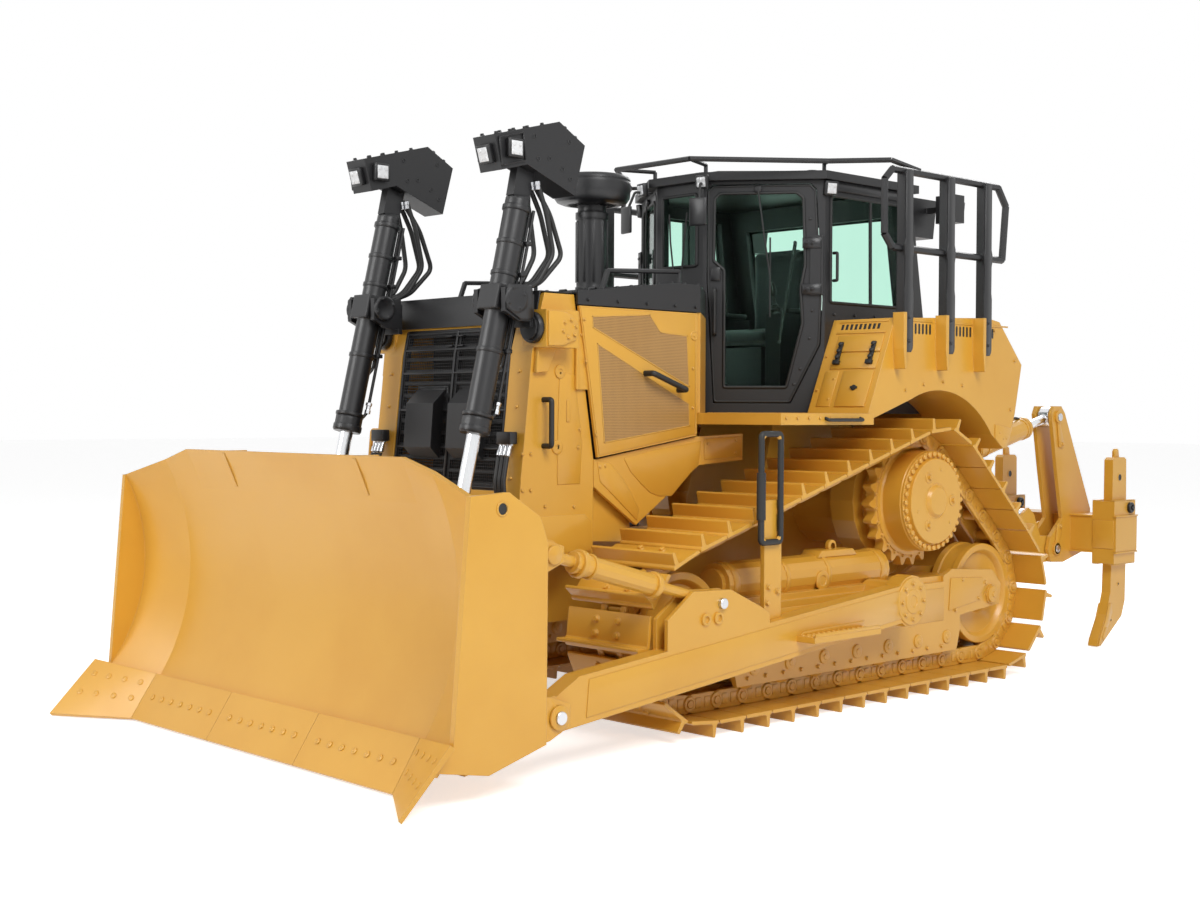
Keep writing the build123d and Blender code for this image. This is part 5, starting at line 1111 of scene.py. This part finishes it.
# ---------------------------------------------------------------- fenders, tool box and tank
# The platform is checker plate on folded fenders, with a louvred vent, a tool box closed by rubber
# latches, a small service door, and filler caps on the rear tank.
fender_parts, latches_and_slot_shade = bmesh.new(), bmesh.new()
for sign in (1, -1):
    face = sign * 1.33
    # rows of stamped slots along the fender's upper edge, between the guard posts, each a thin dark plate of
    # painted shade in the slot
    for first in (-0.375, 0.09, 0.52):
        for i in range(7):
            back = first + i * 0.04
            if abs(back - 0.435) < 0.06 or back > 0.6:
                continue
            cut_plate(latches_and_slot_shade, [at(face, back + a, up) for a, up in pairs(-10, 2352, -6, 2345, 6, 2345,
                10, 2352, 10, 2405, 6, 2412, -6, 2412, -10, 2405)], (sign * 0.001, 0, 0), 0)
        cut_plate(fender_parts, [at(face, first + a, up) for a, up in pairs(-25, 2424, 265, 2424, 265, 2436,
            -25, 2436)], (sign * 0.006, 0, 0), 0.002)
    # on the slanting front face: vents whose slits are thin dark strips of painted shade, the tool box lid with
    # its latches, and the service door
    sloped = lambda x, up, out=0.0: at(sign * x, -0.79 + (up - 1.83) * 0.27 / 0.61 - out * 0.914,
        up + out * 0.405)
    outwards = sloped(0, 0, 1) - sloped(0, 0, 0)
    panel = lambda shape, near, far, low, high, thick, base=0.0: cut_plate(shape, [sloped(near, low, base),
        sloped(far, low, base), sloped(far, high, base), sloped(near, high, base)], outwards * thick, 0.0015)
    # louvred vent: nine thin dark strips of painted shade in the slits
    for i in range(9):
        panel(latches_and_slot_shade, 0.925 + i * 0.036, 0.945 + i * 0.036, 2.372, 2.408, 0.001)
    panel(fender_parts, 0.9, 1.29, 2.418, 2.428, 0.006)
    panel(fender_parts, 0.9, 1.29, 2.345, 2.355, 0.006)
    panel(fender_parts, 0.93, 1.29, 2.225, 2.33, 0.008)
    panel(fender_parts, 0.93, 1.29, 2.115, 2.215, 0.006)
    panel(fender_parts, 1.05, 1.285, 1.872, 2.1, 0.008)
    panel(fender_parts, 0.9, 1.01, 1.872, 2.1, 0.004)
    bolts(fender_parts, [sloped(x, up, 0.0) for x, up in pairs(870, 2200, 870, 1980, 985, 2050, 985, 1920)],
        outwards, 0.016)
    for x in (0.975, 1.235):
        panel(latches_and_slot_shade, x - 0.014, x + 0.014, 2.15, 2.285, 0.014, 0.006)
        panel(latches_and_slot_shade, x - 0.024, x + 0.024, 2.14, 2.165, 0.022, 0.006)
        for up in (2.185, 2.225, 2.268):
            turned(latches_and_slot_shade, pairs(0, 14, 22, 14, 27, 9, 27, 0), aim(sloped(x, up, 0.008), outwards),
                sides=14)
    turned(latches_and_slot_shade, pairs(0, 20, 6, 19, 10, 10, 10, 0), aim(sloped(1.165, 1.99, 0.008), outwards),
        sides=16)
    panel(latches_and_slot_shade, 1.145, 1.195, 1.984, 1.996, 0.014, 0.008)
    bolts(fender_parts, row(face, pairs(620, 2400, 880, 2200, 830, 1860, 740, 1660, 780, 1660, 700, 1700,
        -400, 1980, -200, 2020, 20, 2040, 240, 2020)), (sign, 0, 0), 0.018)
    # edge plate of the folded rear corner
    side_plate(fender_parts, face, pairs(640, 1660, 738, 1592, 788, 1602, 850, 1730, 640, 1760), sign * 0.006,
        0.002)
    # checker ribs and bolts along the platform's edge
    for i in range(30):
        back = -1.66 + i * 0.029
        for x in (0.78, 0.86, 0.94, 1.02, 1.1, 1.18, 1.26, 1.34):
            shift = 0.014 if int(round(x * 12.5)) % 2 else 0.0
            cut_plate(fender_parts, [at(sign * (x - 0.012), back + shift, 1.83),
                at(sign * x, back + shift - 0.006, 1.83), at(sign * (x + 0.012), back + shift, 1.83),
                at(sign * x, back + shift + 0.006, 1.83)], (0, 0, 0.003), 0)
    bolts(fender_parts, [at(sign * 1.373, -1.64 + i * 0.105, 1.8) for i in range(8)], (sign, 0, 0), 0.016)
piece("fender_fittings", fender_parts, yellow_finish)
piece("tool_box_latches_and_slot_shade", latches_and_slot_shade, rubber_finish)
bead("platform_handles", [[at(sign * 1.372, -1.27, 1.8), at(sign * 1.398, -1.27, 1.79),
    at(sign * 1.398, -0.93, 1.79), at(sign * 1.372, -0.93, 1.8)] for sign in (1, -1)], 0.011, rubber_finish,
    "tractor", bend=0.03)

tank = bmesh.new()
for x, back in ((0.52, 0.585), (-0.52, 0.585)):
    turned(tank, pairs(0, 70, 20, 70, 24, 62, 36, 62, 40, 55, 70, 55, 74, 48, 74, 0), aim(at(x, back, 2.4395),
        (0, 0, 1)), sides=40)
    for i in range(16):
        angle = i * math.pi / 8
        turned(tank, pairs(40, 6, 66, 6, 70, 4, 70, 0),
            aim(at(x + 0.055 * math.cos(angle), back + 0.055 * math.sin(angle), 2.4395), (0, 0, 1)), sides=8)
piece("tank_caps", tank, black_finish)
tank_plates = bmesh.new()
slope = Vector((0, 0.69, 0.72))
for x in (-0.55, 0.0, 0.55):
    cut_plate(tank_plates, across(x - 0.22, x + 0.22, (0.735, 2.392), (0.905, 2.231)), slope * 0.006, 0.002)
    bolts(tank_plates, [at(x + side * 0.195, back, up) for side in (1, -1) for back, up in ((0.755, 2.379),
        (0.888, 2.253))], slope, 0.018)
piece("tank_covers", tank_plates, yellow_finish)

# ---------------------------------------------------------------- ripper
# Welded links and beam with forged shanks held by side pins. Turned pins with bright zinc heads,
# a wear cap and a driven tip on each shank, and hoses to the four cylinders.
RIPPER_X = 0.62
for body, pins_on_body in (("ripper", (((2.52, 1.808), 0.052),)), ("ripper_carrier", (((2.505, 0.763), 0.05),)),
        ("tractor", (((1.245, 0.72), 0.05), ((1.195, 1.5), 0.05), ((1.225, 1.19), 0.05)))):
    heads, plates = bmesh.new(), bmesh.new()
    for centre, radius in pins_on_body:
        for sign in (1, -1):
            for x, way in ((RIPPER_X + 0.11, 1), (RIPPER_X - 0.11, -1)):
                side_boss(heads, [(-0.024, radius - 0.02), (0.0, radius - 0.02), (0.006, radius - 0.022),
                    (0.008, radius - 0.03), (0.008, 0)], sign * x, *centre, sign * way, 28)
                side_boss(plates, [(-0.02, radius), (-0.004, radius), (0.0, radius - 0.004),
                    (0.0, radius - 0.019), (-0.02, radius - 0.019)], sign * x, *centre, sign * way, 28)
    name = body if body != "tractor" else "bracket"
    piece(f"{name}_pin_heads", heads, zinc_finish, body)
    piece(f"{name}_pin_collars", plates, yellow_finish, body)

beam = bmesh.new()
lock = bmesh.new()
for sign in (1, -1):
    for x, way in ((RIPPER_X + 0.09, 1), (RIPPER_X - 0.09, -1)):
        # keeper plate below the tower's top pin, with its stud
        side_plate(beam, sign * x, pairs(2500, 1760, 2540, 1760, 2600, 1600, 2575, 1560, 2530, 1570),
            sign * way * 0.012, 0.003)
        bolts(beam, [at(sign * (x + way * 0.012), 2.568, 1.592)], (sign * way, 0, 0), 0.034)
        side_plate(beam, sign * x, pairs(2475, 720, 2535, 720, 2590, 930, 2560, 970, 2515, 960),
            sign * way * 0.012, 0.003)
        bolts(beam, [at(sign * (x + way * 0.012), 2.556, 0.938)], (sign * way, 0, 0), 0.03)
for low, high in pairs(-1120, -1095, -905, -95, 95, 905, 1095, 1120):
    for up, rise in ((1.0205, 0.012), (0.7445, -0.012)):
        cut_plate(beam, across(low, high, (2.712, up), (3.057, up)), (0, 0, rise), 0.002)
for x in (-1.0, 0.0, 1.0):
    cut_plate(beam, across(x - 0.092, x + 0.092, (2.725, 0.77), (2.725, 0.995)), (0, -0.006, 0), 0.002)
    for up in (1.146, 0.649):
        way = 1 if up > 1 else -1
        for near, far in ((-0.095, -0.045), (0.045, 0.095)):
            cut_plate(beam, across(x + near, x + far, (2.725, up), (3.057, up)), (0, 0, way * 0.006), 0.002)
    side = 1 if x >= 0 else -1
    side_boss(lock, pairs(0, 42, 20, 42, 26, 37, 26, 24, 16, 22, 16, 14, 32, 12, 34, 0), x + side * 0.095,
        2.965, 1.09, side, 28)
piece("beam_fittings", beam, yellow_finish, "ripper")
piece("shank_pins", lock, black_finish, "ripper")

tips = bmesh.new()
hole_shade_discs = bmesh.new()
for x in (-1.0, 0.0, 1.0):
    # lifting loop on the shank's head, its pin holes with thin dark discs of painted shade in them, the wear
    # cap and the tip
    side_plate(tips, x - 0.012, pairs(2870, 1488, 2870, 1535, 2885, 1556, 2910, 1560, 2935, 1548, 2945, 1488),
        0.024, 0.003)
    for side in (1, -1):
        for back, up, radius in ((2.905, 1.33, 0.026), (2.9, 0.48, 0.01), (2.79, 0.2, 0.009)):
            side_boss(tips, [(0, radius + 0.008), (0.003, radius + 0.007), (0.004, radius), (0, radius)],
                x + side * 0.038, back, up, side, 24)
            side_boss(hole_shade_discs, [(0, radius), (0.001, radius), (0.001, 0)], x + side * 0.038, back, up, side,
                24)
        side_plate(tips, x + side * 0.038, pairs(2605, 58, 2700, 215, 2745, 330, 2790, 335, 2800, 255,
            2745, 165, 2655, 45, 2590, 12), side * 0.01, 0.003)
        side_plate(tips, x + side * 0.048, pairs(2640, 75, 2690, 155, 2720, 140, 2660, 50), side * 0.006, 0.002)
piece("shank_tips", tips, yellow_finish, "ripper")
piece("shank_hole_shade", hole_shade_discs, rubber_finish, "ripper")

for body, eye, head, start, finish_at, radius in (("ripper_tilt_barrel_body", (1.195, 1.5), (2.52, 1.808), 0.27,
        0.985, 0.0835), ("ripper_lift_barrel_body", (1.225, 1.19), (2.165, 1.028), 0.212, 0.606, 0.0715)):
    bands = bmesh.new()
    for sign in (1, -1):
        low, high = at(sign * RIPPER_X, *eye), at(sign * RIPPER_X, *head)
        way = (high - low).normalized()
        for distance, width in ((start, 0.03), (start + 0.1, 0.016), (finish_at - 0.06, 0.02),
                (finish_at - 0.026, 0.03)):
            turned(bands, band(width, radius + 0.004, radius - 0.012, 0.004), aim(low + way * distance, way),
                sides=36)
    piece(f"{body}_bands", bands, yellow_finish, body)
    lines = []
    for sign in (1, -1):
        low, high = at(sign * RIPPER_X, *eye), at(sign * RIPPER_X, *head)
        way = (high - low).normalized()
        lift = Vector((0, -way.z, way.y)) * (radius + 0.02)
        lines.append([low + way * (start + 0.05) + lift * 0.9, low + way * (start + 0.12) + lift,
            low + way * (finish_at - 0.1) + lift, low + way * (finish_at - 0.03) + lift * 0.75])
    bead(f"{body}_lines", lines, 0.01, black_finish, body)
hose_runs = []
for sign in (1, -1):
    for i in range(2):
        x = sign * (0.5 - i * 0.045)
        hose_runs.append([at(x, 1.045, 1.56 - i * 0.08), at(x, 1.14, 1.57 - i * 0.08),
            at(x, 1.2, 1.44 - i * 0.06), at(x, 1.13, 1.3 - i * 0.05), at(x, 1.045, 1.27 - i * 0.05)])
bead("bracket_hoses", hose_runs, 0.015, rubber_finish, "tractor", bend=0.08)
bracket = bmesh.new()
for x in (-0.4, -0.2, 0.0, 0.2, 0.4):
    bolts(bracket, [at(x, 1.04, up) for up in (0.68, 0.82)], (0, 1, 0), 0.036)
cut_plate(bracket, across(-0.42, 0.42, (1.04, 0.98), (1.04, 1.2)), (0, 0.008, 0), 0.002)
piece("bracket_fittings", bracket, yellow_finish)

# ---------------------------------------------------------------- cylinder rods
# Ground and hard-chromed bars that slide in the black barrels. Polishing has left faint marks
# along them, and their ends are rounded to a bright edge.
chrome, chrome_tree, chrome_sockets = new_material("chrome_rod")
chrome_place = node(chrome_tree, "Mapping", {"Vector": node(chrome_tree, "TexCoord", out="Object"),
    "Scale": (60, 60, 3)})
polish = node(chrome_tree, "TexNoise", {"Vector": chrome_place, "Scale": 3}, "Fac")
shine = node(chrome_tree, "Mix", {"Factor": polish, "A": (0.74, 0.75, 0.77, 1), "B": (0.84, 0.85, 0.86, 1)},
    "Result", data_type="RGBA")
feed(chrome_tree, chrome_sockets, {"Base Color": shine, "Metallic": 1, "Roughness": node(chrome_tree,
    "MapRange", {"Value": polish, "To Min": 0.1, "To Max": 0.24}), "Normal": node(chrome_tree, "Bevel",
    {"Radius": 0.014}, samples=4)})
dress(chrome, "lift_rod_left", "lift_rod_right", "ripper_tilt_rods", "ripper_lift_rods")

# ---------------------------------------------------------------- windows
# Flat panes of safety glass, held in black rubber. They are tinted a pale green, and the tint
# is a little deeper in places.
tint, tint_tree, tint_sockets = new_material("tinted_glass")
tint_cloud = node(tint_tree, "TexNoise", {"Vector": node(tint_tree, "TexCoord", out="Object"), "Scale": 1.2},
    "Fac")
tint_tone = node(tint_tree, "Mix", {"Factor": tint_cloud, "A": (0.7, 0.93, 0.83, 1), "B": (0.76, 0.95, 0.87,
    1)}, "Result", data_type="RGBA")
feed(tint_tree, tint_sockets, {"Base Color": tint_tone, "Roughness": 0.02, "Transmission Weight": 1.0,
    "IOR": 1.08})
dress(tint, "cab_glass", "cab_door_glass_left", "cab_door_glass_right")
